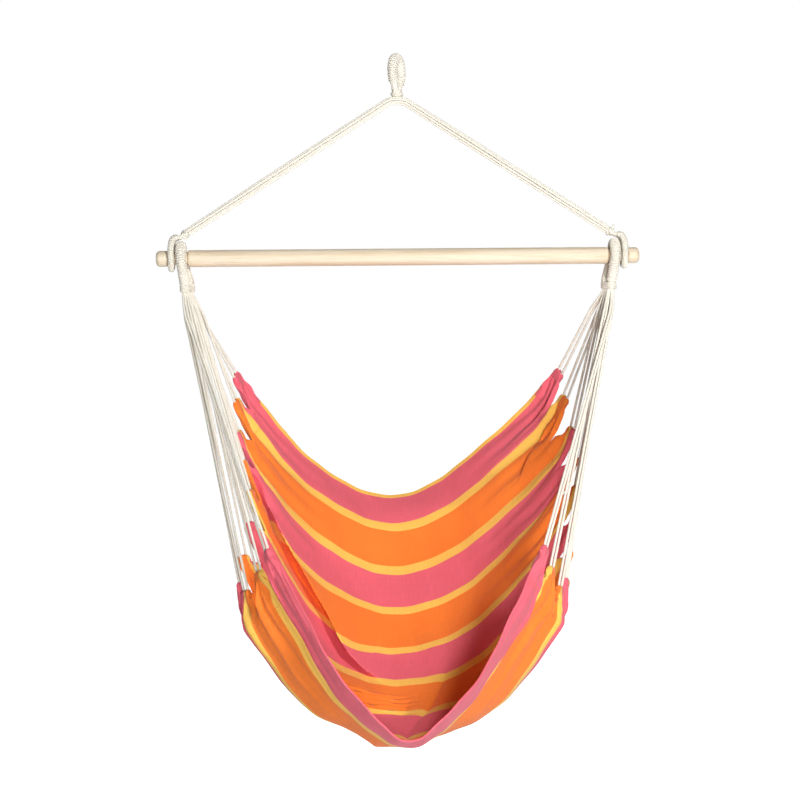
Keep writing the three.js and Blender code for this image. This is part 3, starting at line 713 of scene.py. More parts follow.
def striped_cotton_material(cloth, colours):
    """Woven and dyed cotton canvas in stripes: matt, with a soft sheen, slubs and a plain weave."""
    material, tree = new_material("Woven striped cotton")
    uv, across, along = flat_place(tree)
    stops, total = stripe_stops(cloth, colours)
    share = calculated(tree, "MULTIPLY", along, 1 / total)
    stripes = ramp(tree, share, [(at / total, (*colour, 1)) for at, colour in stops], "CONSTANT")
    # Slubs run with the stripes: a few millimetres wide and some centimetres long.
    slubs = noise(tree, stretched(tree, uv, (22.0, 420.0, 1.0)), 1.0, 3.0, 0.65)
    picks = noise(tree, stretched(tree, uv, (420.0, 26.0, 1.0)), 1.0, 2.0)
    both = calculated(tree, "ADD", slubs, picks)
    tone = add_node(tree, "ShaderNodeMapRange", {0: both, 1: 0.6, 2: 1.4, 3: 0.90, 4: 1.08}).outputs[0]
    toned = add_node(tree, "ShaderNodeVectorMath", {0: stripes, 1: tone}, operation="MULTIPLY")
    # The weave has about 9 threads to the centimetre; it is drawn at 2.4 mm to show.
    weft, warp = (
        calculated(tree, "SINE", calculated(tree, "MULTIPLY", way, 2 * math.pi / WEAVE_PITCH))
        for way in (along, across)
    )
    slub_height = calculated(tree, "MULTIPLY", both, both)
    height = calculated(tree, "MULTIPLY_ADD", calculated(tree, "MULTIPLY", weft, warp), 0.5, slub_height)
    add_shader(tree, {
        "Base Color": toned.outputs[0],
        "Normal": bumped(tree, height, 0.22, 0.0008),
        "Roughness": 0.86, "Specular IOR Level": 0.22, "Sheen Weight": 0.16, "Sheen Roughness": 0.5,
        "Sheen Tint": (0.92, 0.84, 0.95, 1),
    })
    return material


def thread_material(colour):
    """Sewing thread of spun cotton: matt, close to the stripes in colour."""
    material, tree = new_material("Spun sewing thread")
    place = add_node(tree, "ShaderNodeTexCoord").outputs["Object"]
    tone = mixed(tree, noise(tree, place, 300.0, 2.0), (*colour, 1), faded(colour, (0.7, 0.7, 0.7)))
    add_shader(tree, {"Base Color": tone, "Roughness": 0.8})
    return material


def slot_material(slot):
    """The material of a slot. The cord's and the twine's are made once."""
    scene = bpy.context.scene
    colours = scene.hammock_colours
    if slot == "striped_cloth":
        return striped_cotton_material(scene.hammock_cloth, colours)
    if slot == "bar_wood":
        return turned_wood_material(colours.wood)
    # Each cord's material name, its lay, and the strength of the painted shade in its grooves
    name, lay, groove_shade = {
        "cotton_cord": ("Twisted cotton cord", scene.hammock_cords.lay, 0.07),
        "whipping_cord": ("Wound cotton twine", TWINE_LAY, 0.05),
    }[slot]
    made = bpy.data.materials.get(name)
    return made or cotton_cord_material(name, tuple(colours.cord), lay, groove_shade)


# Places that follow from the sizes

def wrap_radius(core, wire):
    """Outer radius of the turns round a core: (core/2 + gap + wire/2) / cos 22.5 + wire/2."""
    return (core / 2 + REST_GAP + wire / 2) * WRAP_SPREAD + wire / 2


LOOP_WRAP = wrap_radius(LOOP_CORE, WHIPPING)
SEAT_WRAP = wrap_radius(SEAT_EYE_CORE, WHIPPING)
LEG_WRAP = wrap_radius(LEG_EYE_CORE, FINE_WHIPPING)
THROAT_WRAP = wrap_radius(THROAT_CORE, WHIPPING)
# Radius of the ring of strands round the middle one
STRAND_RING = STRAND_PITCH / (2 * math.sin(math.pi / (STRANDS - 1)))
SIDES = (("left", -1), ("right", 1))


class Places:
    """Where the eyes, knots and feet stand, from the sizes of the bar, and the cloth's size."""

    def __init__(self, scene):
        bar = scene.hammock_bar
        self.bar_height = -bar.hook_to_bar
        self.neck_radius = bar.neck / 2
        self.neck_out = bar.length / 2 - bar.knob_length
        self.leg_eye = self.neck_out - REST_GAP - LEG_WRAP
        self.seat_eye = self.leg_eye - LEG_WRAP - EYE_GAP - SEAT_WRAP
        self.neck_in = self.seat_eye - SEAT_WRAP - EYE_GAP
        self.leg_ring = self.neck_radius + TURN_GAP + LEG_WRAP
        self.seat_ring = self.neck_radius + TURN_GAP + SEAT_WRAP
        self.knot = self.seat_eye - KNOT_INSET
        self.knot_height = self.bar_height + self.seat_ring + SEAT_WRAP + KNOT_GAP
        self.seat_foot = self.bar_height - SEAT_EYE_DROP
        self.seat_taper_foot = self.seat_foot + (SEAT_BINDING_TURNS + 1) * SEAT_BINDING_PITCH
        self.loop_taper_top = LOOP_WRAP - LOOP_HALF_WIDTH - LOOP_STRAIGHT
        self.loop_taper_foot = self.loop_taper_top - LOOP_TAPER
        self.loop_foot = self.loop_taper_foot - LOOP_FOOT
        self.throat_top = self.loop_foot - REST_GAP
        self.throat_foot = self.throat_top - THROAT_TURNS * THROAT_PITCH - 1.5 * WHIPPING
        # Height of the level run of the strands under the throat
        self.pivot = self.throat_foot - REST_GAP - STRAND_RING - scene.hammock_cords.strand / 2
        # The cloth was cut square.
        self.cloth_length = stripe_stops(scene.hammock_cloth, scene.hammock_colours)[1]
        self.cloth_half = self.cloth_length / 2

    def knot_centre(self, hand):
        return np.array([hand * self.knot, 0, self.knot_height])

    def leg_direction(self, hand):
        return unit(self.knot_centre(hand) - np.array([hand * THROAT_WRAP, 0, self.pivot]))

    def bundle_foot(self, hand):
        return np.array([hand * (self.seat_eye - SEAT_EYE_LEAN), 0, self.seat_foot])


def eye_path(half_width, foot_half, arch_top, taper_top, taper_foot, foot, change=None):
    """Inverted U in the YZ plane, changed by a function before it is smoothed: feet, taper and
    a half circle of places over the top."""
    arch_foot = arch_top - half_width
    angle = half_circle(-1)
    arch = np.stack([0 * angle, half_width * np.cos(angle), arch_foot + half_width * np.sin(angle)], axis=1)
    left = np.array([
        [0, -foot_half, foot],
        [0, -foot_half, taper_foot],
        [0, -half_width, taper_top],
        [0, -half_width, arch_foot],
    ])
    places = np.concatenate([left, arch, left[::-1] * [1, -1, 1]])
    return smooth_between_ends(change(places) if change else places)


def whipped_eye(path, side, radius, bundle, bare, sink, width, height):
    """Two parts: a bundle of yarns along a path, and close turns round it between its bare
    feet, which sink a little into it."""
    run = run_length(path)
    covered = path[(run > bare) & (run < run[-1] - bare)]
    turns = close_turns(covered, side, radius - sink, width, height)
    return twisted_tube(path, side, radius, *bundle), turns


# Hanging loop, throat and suspension

def build_hanging_loop(places, scene):
    """Core bundle of the loop, its whipping, the throat and the turns round it."""
    cords = scene.hammock_cords
    path = eye_path(
        LOOP_HALF_WIDTH, LOOP_CORE / 2 + REST_GAP / 2, LOOP_WRAP,
        places.loop_taper_top, places.loop_taper_foot, places.loop_foot,
    )
    parts = whipped_eye(
        path, (1, 0, 0), LOOP_CORE / 2, LOOP_BUNDLE, LOOP_BARE, TURN_SINK,
        cords.turn_width, cords.turn_height,
    )
    core, turns = (moved(part, lambda p: turned_about_z(p, LOOP_TURN)) for part in parts)
    piece("hanging_loop_bundle", [core], "hanging_loop", "cotton_cord", ["hanging_loop_core"])
    piece("hanging_loop_close_turns", [turns], "hanging_loop", "whipping_cord", ["hanging_loop_whipping"])
    upright = np.array([[0, 0, places.throat_top + THROAT_OVERLAP], [0, 0, places.throat_foot]])
    waist = twisted_tube(even_steps(upright, THROAT_STEP), (1, 0, 0), THROAT_CORE / 2, *THROAT_BUNDLE)
    piece("throat_bundle", [waist], "throat", "cotton_cord", ["throat_core"])
    bound = binding(
        THROAT_CORE / 2, 0, THROAT_SHOWN_TURNS, THROAT_SHOWN_PITCH,
        places.throat_top - THROAT_TURN_WIDTH / 2, THROAT_TURN_WIDTH,
    )
    piece("throat_turns", [bound], "throat", "whipping_cord", ["throat_binding"])


def strand_path(index, places):
    """One strand from knot to knot: level under the throat, then straight down each leg, with
    the leg's belly of ring + belly sin(pi s)."""
    angle = 2 * math.pi * index / (STRANDS - 1)
    bend = np.array([THROAT_WRAP, 0, places.pivot])
    knot = places.knot_centre(1)
    along = unit(knot - bend)
    slope = math.atan2(-along[2], along[0])
    length = np.linalg.norm(knot - bend) - KNOT_LENGTH / 2 - REST_GAP
    stop = np.append(np.linspace(1, 0.06, 24), 0)
    turn = np.where(stop == 0, slope / 2, slope)
    reach = 0 * stop if index == 0 else STRAND_RING + LEG_BELLY * np.sin(np.pi * stop)
    rise = reach * math.sin(angle) * np.where(stop == 0, 1 / math.cos(slope / 2), 1)
    place = bend + along * (length * stop)[:, None]
    half = np.stack([
        place[:, 0] + rise * np.sin(turn),
        reach * math.cos(angle),
        place[:, 2] + rise * np.cos(turn),
    ], axis=1)
    return rounded_corners(np.concatenate([half * [-1, 1, 1], half[::-1]]), STRAND_STEP, STRAND_ROUND)


def knot_part(centre, along):
    """A tight trefoil knot: (sin t + 2 sin 2t, cos t - 2 cos 2t, -sin 3t), set along the leg."""
    t = np.linspace(0, 2 * np.pi, 97)
    curve = np.stack([np.sin(t) + 2 * np.sin(2 * t), np.cos(t) - 2 * np.cos(2 * t), -np.sin(3 * t)], axis=1)
    wide = (KNOT_SIZE - KNOT_CORD_RADIUS) / 3
    curve = curve * [wide, wide, KNOT_LENGTH / 2 - KNOT_CORD_RADIUS * 0.9]
    x = unit(np.cross([0, 1, 0], along))
    path = curve @ np.stack([x, np.cross(along, x), along]) + centre
    tangent = unit(np.gradient(path, axis=0))
    tangent[0] = tangent[-1] = unit(tangent[0] + tangent[-1])
    return swept(path, path - centre, KNOT_CORD_RADIUS, KNOT_CORD_RADIUS, 12, tangent=tangent)


def leg_eye_path(hand, places):
    """From the knot down beside the seat eye, under the neck and back up."""
    along = places.leg_direction(hand)
    foot_half = LEG_EYE_CORE / 2 + REST_GAP / 2
    start = places.knot_centre(hand) + along * (KNOT_LENGTH / 2 + REST_GAP)
    clear = start + along * LEG_EYE_CORE / 2
    x, ring, height = hand * places.leg_eye, places.leg_ring, places.bar_height
    down = np.array([
        [start[0], -foot_half, start[2]],
        [clear[0], -foot_half, clear[2]],
        [hand * (places.knot + LEG_EYE_REACH), -(foot_half + ring) / 2, places.knot_height - LEG_EYE_CORE],
        [x, -ring, height + ring],
        [x, -ring, height],
    ])
    angle = half_circle(1)
    under = np.stack([0 * angle + x, ring * np.cos(angle), height + ring * np.sin(angle)], axis=1)
    return smooth_between_ends(np.concatenate([down, under, down[::-1] * [1, -1, 1]]))


def build_suspension(places, scene):
    """Eight strands, and on each side a knot and a thin whipped eye."""
    cords = scene.hammock_cords
    radius, lay = cords.strand / 2, cords.lay
    for number in range(1, STRANDS + 1):
        path = strand_path(number - 1, places)
        rope = twisted_tube(path, (0, 1, 0), radius, 12, 3, STRAND_PLY_DEPTH, lay)
        name = f"suspension_strand_{number}"
        piece(f"twisted_strand_{number}", [rope], "suspension", "cotton_cord", [name])
    for side, hand in SIDES:
        along = places.leg_direction(hand)
        centre = places.knot_centre(hand)
        # Both tails stand up square to their leg, to the right.
        upwards = unit(np.array([-along[2], 0, abs(along[0])]))
        tail_path = centre + upwards * np.linspace(*TAIL_SPAN, 12)[:, None]
        tail = twisted_tube(tail_path, (0, 1, 0), radius, 12, 3, TAIL_PLY_DEPTH, lay)
        middle = centre + along * np.linspace(-HEART_HALF_LENGTH, HEART_HALF_LENGTH, 10)[:, None]
        heart = twisted_tube(middle, (0, 1, 0), HEART_RADIUS, *HEART_BUNDLE)
        knot = [knot_part(centre, along), tail, heart]
        piece(f"{side}_tied_knot", knot, "suspension", "cotton_cord", [f"{side}_leg_knot"])
        core, turns = whipped_eye(
            leg_eye_path(hand, places), (1, 0, 0.3 * hand), LEG_EYE_CORE / 2, LEG_EYE_BUNDLE,
            LEG_EYE_BARE, FINE_TURN_SINK, cords.fine_turn, FINE_TURN_HEIGHT,
        )
        name = f"{side}_leg_eye"
        piece(f"{side}_thin_eye_bundle", [core], "suspension", "cotton_cord", [f"{name}_core"])
        piece(f"{side}_thin_eye_turns", [turns], "suspension", "whipping_cord", [f"{name}_whipping"])


# Seat eyes and seat cords

def twisted(points, hand, share=1.0):
    """Points turned about their upright by the eye's twist times the share."""
    return turned_about_z(points, hand * SEAT_EYE_TWIST * share)


def leaned(points, hand, places):
    """Points of an eye moved towards the middle and twisted, both growing from the bar down."""
    drop = (places.bar_height - points[..., 2]) / (places.bar_height - places.seat_taper_foot)
    share = np.clip(drop, 0, 1)
    shift = hand * (places.seat_eye - SEAT_EYE_LEAN * share)
    return twisted(points, hand, share**2) + shift[..., None] * [1, 0, 0]


def build_seat_eyes(places, scene):
    """A thick whipped eye over each neck, with the turns that bind its foot."""
    cords = scene.hammock_cords
    foot_half = SEAT_EYE_CORE / 2 + REST_GAP / 2
    for side, hand in SIDES:
        path = eye_path(
            places.seat_ring, foot_half, places.bar_height + places.seat_ring,
            places.bar_height - places.neck_radius, places.seat_taper_foot, places.seat_foot,
            lambda points: leaned(points, hand, places),
        )
        core, turns = whipped_eye(
            path, (1, 0, 0), SEAT_EYE_CORE / 2, SEAT_EYE_BUNDLE, SEAT_EYE_BARE, TURN_SINK,
            cords.turn_width, cords.turn_height,
        )
        bound = binding(
            SEAT_EYE_CORE / 2, foot_half, SEAT_BINDING_TURNS, SEAT_BINDING_PITCH,
            places.seat_taper_foot - SEAT_BINDING_PITCH / 2, SEAT_TURN_WIDTH,
        )
        place = places.bundle_foot(hand) * [1, 0, 0]
        bound = moved(bound, lambda points: twisted(points, hand) + place)
        name = f"{side}_seat_eye"
        piece(f"{name}_bundle", [core], "seat", "cotton_cord", [f"{name}_core"])
        piece(f"{name}_turns", [turns], "seat", "whipping_cord", [f"{name}_whipping"])
        piece(f"{name}_foot_turns", [bound], "seat", "whipping_cord", [f"{name}_binding"])


def station_values(t, column):
    """Uniform cubic through the stations' values, with straight-on neighbours at both ends."""
    values = STATIONS[:, column]
    padded = np.concatenate([[2 * values[0] - values[1]], values, [2 * values[-1] - values[-2]]])
    i = np.minimum(np.floor(t).astype(int), len(values) - 2)
    f = t - i
    a, b, c, d = (padded[i + k] for k in range(4))
    return 0.5 * (
        2 * b + (c - a) * f + (2 * a - 5 * b + 4 * c - d) * f**2 + (3 * b - a - 3 * c + d) * f**3
    )


STATION_STEPS = np.linspace(0, len(STATIONS) - 1, 3001)
STATION_SHARES = station_values(STATION_STEPS, 0)


def sag_at(across, exponent):
    """1 - soft(|a|) / soft(1), with soft(a) = (a^2 + r^2)^(p/2) - r^p."""
    soft = lambda a: (a * a + SAG_ROUND**2) ** (exponent / 2) - SAG_ROUND**exponent
    return 1 - soft(np.abs(across)) / soft(1.0)


def cloth_point(across, along, places):
    """Place of the hanging cloth at across, from -1 to 1, and along, in metres of flat cloth."""
    length = places.cloth_length
    t = np.interp(np.clip(along / length, 0, 1), STATION_SHARES, STATION_STEPS)
    _, left_half, right_half, edge_y, edge_z, middle_y, middle_z, left, right = (
        station_values(t, column) for column in range(9)
    )
    half = np.where(across < 0, left_half, right_half)
    mix = smoothstep(across, -SAG_ROUND, SAG_ROUND)
    sag = sag_at(across, left) * (1 - mix) + sag_at(across, right) * mix
    depth = 1 - np.abs(across) ** DEPTH_SAG_POWER
    return np.stack([
        across * half,
        length * (edge_y + (middle_y - edge_y) * depth),
        places.bar_height + length * (edge_z + (middle_z - edge_z) * sag),
    ], axis=-1)


def finger_frames(hand, places):
    """For each finger: its middle on the edge, the pull of its cords and the way across it."""
    length = places.cloth_length
    share = END_TIP_SHARE + (1 - 2 * END_TIP_SHARE) * np.arange(FINGERS) / (FINGERS - 1)
    edge = np.full(FINGERS, float(hand))
    aside = length / FINGERS * SLOPE_SHARE
    before, middle, after = (
        cloth_point(edge, share * length + step, places) for step in (-aside, 0, aside)
    )
    pull = unit(places.bundle_foot(hand) - middle)
    return middle, pull, square_to(after - before, pull)


def bundle_slot(hand, order, tips):
    """Place of a cord at the eye's foot, in rows of four from back to front. A row starts
    outside where its first finger hangs further out than its last."""
    rows = math.ceil(2 * FINGERS / BUNDLE_COLUMNS)
    row, column = divmod(order, BUNDLE_COLUMNS)
    first = row * BUNDLE_COLUMNS // 2
    last = min(first + BUNDLE_COLUMNS // 2, FINGERS) - 1
    way = 1 if hand * tips[first, 0] < hand * tips[last, 0] else -1
    across = way * (column - (BUNDLE_COLUMNS - 1) / 2) * CORD_PITCH
    back = ((rows - 1) / 2 - row) * CORD_PITCH
    return twisted(np.array([hand * across, back, -REST_GAP]), hand)


def fan_out(slot, foot, target, diameter):
    """The top of a cord: drawn in to half its slot under the binding, then out to its straight
    run, which it joins at the length CORD_JOIN."""
    start = foot + slot - [0, 0, diameter]
    along = unit(target - start) * CORD_JOIN
    inside = foot + slot * [0.5, 0.5, 0]
    places = [inside + [0, 0, CORD_HIDDEN], inside + [0, 0, CORD_LEVEL], start + along / 2, start + along]
    return smooth_path(np.array(places), CORD_STEP)


def seat_cord_path(hand, index, places, diameter, fingers):
    """From the eye's foot down to its finger, in a U through the finger's top and back up."""
    foot = places.bundle_foot(hand)
    middle, pull, across = (part[index] for part in fingers)
    rest = middle + pull * (HEM_GAP + diameter / 2)
    angle = np.linspace(0, np.pi / 2, 9)[:, None]
    out = across * (FINGER_WIDTH / 2 - BEND_RADIUS + BEND_RADIUS * np.cos(angle))
    rise = pull * (BEND_RADIUS - BEND_RADIUS * np.sin(angle))
    left, right = rest - out + rise, (rest + out + rise)[::-1]
    down, up = (
        fan_out(bundle_slot(hand, 2 * index + order, fingers[0]), foot, target, diameter)
        for order, target in ((0, left[0]), (1, right[-1]))
    )
    return even_steps(np.concatenate([down, left, right, up[::-1]]), CORD_STEP)


def build_seat_cords(places, scene):
    """Eleven twisted cord loops on each side, from the seat eye to the fingers of the hem."""
    cords = scene.hammock_cords
    for side, hand in SIDES:
        fingers = finger_frames(hand, places)
        _, pulls, ways = fingers
        for index in range(FINGERS):
            path = seat_cord_path(hand, index, places, cords.seat_cord, fingers)
            reference = np.cross(pulls[index], ways[index])
            rope = twisted_tube(path, reference, cords.seat_cord / 2, 12, 3, CORD_PLY_DEPTH, cords.lay)
            name = f"{side}_seat_cord_{index + 1}"
            piece(f"{side}_twisted_cord_{index + 1}", [rope], "seat", "cotton_cord", [name])


# Cloth

def from_line(flat, line):
    """For each flat place: its distance to a line of points, positive to the left of the line's
    way, and the share of the line's length at the nearest point."""
    start, step = line[:-1], np.diff(line, axis=0)
    rel = flat[..., None, :] - start
    length = np.linalg.norm(step, axis=1)
    share = np.clip((rel * step).sum(-1) / length**2, 0, 1)
    distance = np.linalg.norm(rel - share[..., None] * step, axis=-1)
    nearest = distance.argmin(-1)
    pick = lambda values: np.take_along_axis(values, nearest[..., None], -1)[..., 0]
    turn = step[:, 0] * rel[..., 1] - step[:, 1] * rel[..., 0]
    run = run_length(line)
    at = (run[nearest] + pick(share) * length[nearest]) / run[-1]
    return pick(distance) * np.sign(pick(turn)), at


def overlap(flat, line, tuck, sharp, reach, start, end, front):
    """How far an overlap along a line moves flat places: by -tuck g(d) square to it, where
    g(d) = tanh(d / sharp) exp(-(d / reach)^2) and d is the distance from the line, set so
    that the edge of the side in front shows on the line itself. Also returns the depth: g
    where the left side is in front, and -g where the other is."""
    d, at = from_line(flat, line)
    strength = window(at, start, end)
    edge = sharp * np.arccosh(np.sqrt(np.maximum(tuck / sharp, 1.0001)))
    shown = tuck * np.tanh(edge / sharp) - edge
    d = d - front * shown * strength
    way = unit(np.array([line[0, 1] - line[-1, 1], line[-1, 0] - line[0, 0]]))
    g = np.tanh(d / sharp) * np.exp(-((d / reach) ** 2)) * strength
    return -way * (tuck * g)[..., None], front * g


def surface_normals(points):
    """Unit normals of a grid of points, from its slopes across and along."""
    return unit(np.cross(np.gradient(points, axis=0), np.gradient(points, axis=1)))


def hanging_folds(across, along, w, finger, length):
    """Height of the folds over the hanging cloth, in metres. They are sums of
    size * cos(phase) * window: three ridges that spread from each finger, long pulls along the
    front lip, the slack folds in the bottom of the pouch and a broad unevenness."""
    rng = np.random.default_rng(11)
    side = np.abs(across)
    size = 0.7 + 0.6 * rng.random((2, FINGERS))
    phase = rng.random((2, FINGERS)) * 1.2 - 0.6
    hand = (across > 0).astype(int)
    size, phase = size[hand, finger], phase[hand, finger]
    ridges = lambda height, pitch, slant: height * np.cos(2 * np.pi * along / pitch + slant * across)
    fan = FAN_HEIGHT * size * np.cos(3 * np.pi * w + phase) * smoothstep(side, 0.66, 0.95)
    spread = SPREAD_HEIGHT * size * np.cos(2 * np.pi * w + 2 * phase) * smoothstep(side, 0.35, 0.9)
    front = ridges(*FRONT_PULLS) * window(along, (0.85, 0.9), (length - 0.012, length))
    lip = ridges(*LIP_PULLS) * smoothstep(along, 0.76, 0.86) * smoothstep(side, 0.2, 0.7)
    bottom = ridges(*BOTTOM_FOLDS) * window(along, (0.575, 0.61), (0.655, 0.68))
    bottom = bottom * window(-across, (-0.15, 0.15), (0.5, 0.8))
    wide = np.sin(9 * across + 13 * along) * np.sin(15 * along - 4 * across + 1)
    fine = np.sin(23 * across - 31 * along + 2) * np.sin(12 * across + 19 * along)
    broad = (BROAD_HEIGHT * wide + FINE_HEIGHT * fine) * (1 - smoothstep(side, 0.8, 0.95))
    return fan + spread + front * smoothstep(-across, 0.12, 0.6) + lip + bottom + broad


def cloth_rows(length):
    """Lengths along the cloth of its rows, the same number to each finger, with a slit between
    fingers."""
    pitch = length / FINGERS
    start = np.arange(FINGERS) * pitch + VISIBLE_SLIT / 2
    end = (np.arange(FINGERS) + 1) * pitch - VISIBLE_SLIT / 2
    start[0], end[-1] = 0, length
    share = np.linspace(0, 1, ROWS_PER_FINGER)
    return (start[:, None] + (end - start)[:, None] * share).reshape(-1)


def hanging_sheet(places, gather):
    """Grid of the sheet between the fingers: the hanging form of the cloth, moved at the
    overlaps, with the gathers and the folds square to the surface."""
    length, half = places.cloth_length, places.cloth_half
    columns = np.linspace(FINGER_SHARE - 1, 1 - FINGER_SHARE, CLOTH_COLUMNS)
    across, along = np.meshgrid(columns, cloth_rows(length))
    aside = np.abs(across)
    pitch = length / FINGERS
    finger = np.minimum((along / pitch).astype(int), FINGERS - 1)
    w = 2 * (along / pitch - finger) - 1
    flat = np.stack([across * half, along], axis=-1)
    near_hem = 1 - np.where(across < 0, *HEM_HOLD) * smoothstep(aside, *HEM_HOLD_SPAN)
    (left_move, left), (right_move, right), (lip_move, lip) = (
        overlap(flat, **fold) for fold in (LEFT_FOLD, RIGHT_FOLD, LIP_FOLD)
    )
    # The lip itself stays where it is.
    lip_move = lip_move * (1 - smoothstep(along, *LIP_FADE))[..., None]
    shifted = flat + (left_move + right_move + lip_move) * near_hem[..., None]
    points = cloth_point(shifted[..., 0] / half, shifted[..., 1], places)
    points[..., 0] += np.sign(across) * gather * np.cos(np.pi * w) * smoothstep(aside, GATHER_START, 1)
    stands = np.where(left > 0, LEFT_FRONT_STAND, LEFT_WALL_STAND) * left
    stands = stands + RIGHT_STAND * right - LIP_STAND * lip
    belly = window(along, *BELLY_ALONG) * window(aside, *BELLY_ASIDE)
    height = hanging_folds(across, along, w, finger, length) + stands * near_hem
    height = height - np.where(across < 0, LEFT_BELLY, RIGHT_BELLY) * belly
    points = points + surface_normals(cloth_point(across, along, places)) * height[..., None]
    # The bottom of the seat hangs in a low corner left of the middle, and a crease runs up
    # from the lip to the right of it.
    low = 1
    for at, place, reach in zip((across, along), LOW_CORNER_PLACE, LOW_CORNER_REACH):
        low = low * np.clip(1 - np.abs(at - place) / reach, 0, 1)
    d, at = from_line(flat, BOTTOM_CREASE)
    valley = np.exp(-np.abs(d) / CREASE_WIDTH) * window(at, (0, 0.12), (0.6, 1))
    points[..., 2] -= LOW_CORNER * low + CREASE_DEPTH * valley
    return points, across, along


def finger_grids(hand, points, places):
    """Grids of the fingers of one side, eleven of them, from the sheet's edge to the rounded
    top over the cord. A finger's middle runs along the cubic from the sheet's slope to the pull
    of the cord, and its width goes over from the sheet's to the top's near the cord, so that
    the slits stay closed below. Gathers grow along it and close again at the top."""
    edge, inner = (0, 3) if hand < 0 else (CLOTH_COLUMNS - 1, CLOTH_COLUMNS - 4)
    base, inside = (points[:, column].reshape(FINGERS, ROWS_PER_FINGER, 3) for column in (edge, inner))
    middle, pull, across = finger_frames(hand, places)
    w = np.linspace(-1, 1, ROWS_PER_FINGER)
    t = FINGER_STEPS
    top = middle + pull * TIP_RISE
    foot = base.mean(1)
    span = np.linalg.norm(top - foot, axis=-1)[:, None, None]
    way = unit(unit(base - inside).mean(1))[:, None] * span * FINGER_LEAVE
    arrive = pull[:, None] * span * FINGER_ARRIVE
    spine = cubic(foot[:, None], way, top[:, None], arrive, t[None, :, None])
    narrow = smoothstep(t, *FINGER_NARROWS)[None, None, :, None]
    from_foot = (base - foot[:, None])[:, :, None]
    at_top = across[:, None] * (w * TIP_WIDTH / 2)[None, :, None]
    drop = TIP_RISE * (1 - np.sqrt(1 - TIP_FLATNESS * w**6))
    at_top = at_top - pull[:, None] * drop[None, :, None]
    grid = spine[:, None] + from_foot * (1 - narrow) + at_top[:, :, None] * narrow
    gathers = np.cos(4 * np.pi * w)[:, None] * window(t, *FINGER_GATHERS)
    square = unit(np.cross(pull, across))
    return grid + square[:, None, None] * (FINGER_GATHER * gathers)[..., None]


def striped_sheet(places, cloth):
    """The whole cloth as points, faces, thickness and the flat place of each point, with the
    points of its sheet and their places across it."""
    points, across, along = hanging_sheet(places, cloth.gather)
    length, half = places.cloth_length, places.cloth_half
    index = np.arange(across.size).reshape(across.shape)
    corners = (index[:-1, :-1], index[1:, :-1], index[1:, 1:], index[:-1, 1:])
    quads = [np.stack(corners, axis=-1).reshape(-1, 4)]
    side_hem = smoothstep(np.abs(across) - (1 - cloth.hem_width / half), *SIDE_HEM)
    end_hem = 1 - smoothstep(np.minimum(along, length - along), *END_HEM)
    thick = cloth.thickness + (cloth.hem - cloth.thickness) * np.maximum(side_hem, end_hem)
    all_points, all_thick = [points.reshape(-1, 3)], [thick.reshape(-1)]
    all_flat = [np.stack([across * half, along], axis=-1).reshape(-1, 2)]
    count = across.size
    t = FINGER_STEPS[1:]
    bulb = cloth.hem + (TIP_THICKNESS - cloth.hem) * smoothstep(t, *TIP_SWELLS)
    left = np.clip((1 - t) / TIP_ROUND, 0, 1)
    bulb = bulb * np.sqrt(1 - (1 - left) ** 2) + TIP_END_THICKNESS * (1 - left)
    for _, hand in SIDES:
        edge = 0 if hand < 0 else -1
        new = finger_grids(hand, points, places)[:, :, 1:]
        shape = new.shape[:3]
        fresh = count + np.arange(new.size // 3).reshape(shape)
        table = np.concatenate([index[:, edge].reshape(*shape[:2], 1), fresh], axis=-1)
        corners = (table[:, :-1, :-1], table[:, 1:, :-1], table[:, 1:, 1:], table[:, :-1, 1:])
        corners = np.stack(corners, axis=-1).reshape(-1, 4)
        quads.append(corners[:, [0, 3, 2, 1]] if hand < 0 else corners)
        out = np.broadcast_to(hand * half * (1 - FINGER_SHARE + FINGER_SHARE * t), shape)
        rows_along = np.broadcast_to(along[:, edge].reshape(*shape[:2], 1), shape)
        all_flat.append(np.stack([out, rows_along], axis=-1).reshape(-1, 2))
        all_thick.append(np.broadcast_to(bulb, shape).reshape(-1))
        all_points.append(new.reshape(-1, 3))
        count += new.size // 3
    whole = (np.concatenate(group) for group in (all_points, quads, all_thick, all_flat))
    return *whole, (points, across)


def thick_sheet(points, quads, thickness, flat):
    """A closed sheet: both faces at half the thickness along the normals, and a rim at each
    open edge. The normals are the sums of the faces' cross products at each point."""
    a, b, c, d = (points[quads[:, k]] for k in range(4))
    cross = np.cross(c - a, d - b)
    normals = np.zeros_like(points)
    for k in range(4):
        np.add.at(normals, quads[:, k], cross)
    offset = unit(normals) * thickness[:, None] / 2
    count = len(points)
    edges = np.concatenate([quads[:, [k, (k + 1) % 4]] for k in range(4)])
    key = edges[:, 0] * count + edges[:, 1]
    other = edges[:, 1] * count + edges[:, 0]
    rim = edges[~np.isin(other, key)]
    wall = np.stack([rim[:, 1], rim[:, 0], rim[:, 0] + count, rim[:, 1] + count], axis=1)
    faces = np.concatenate([quads, quads[:, ::-1] + count, wall])
    return np.concatenate([points + offset, points - offset]), [(faces, np.tile(flat, (2, 1))[faces])]


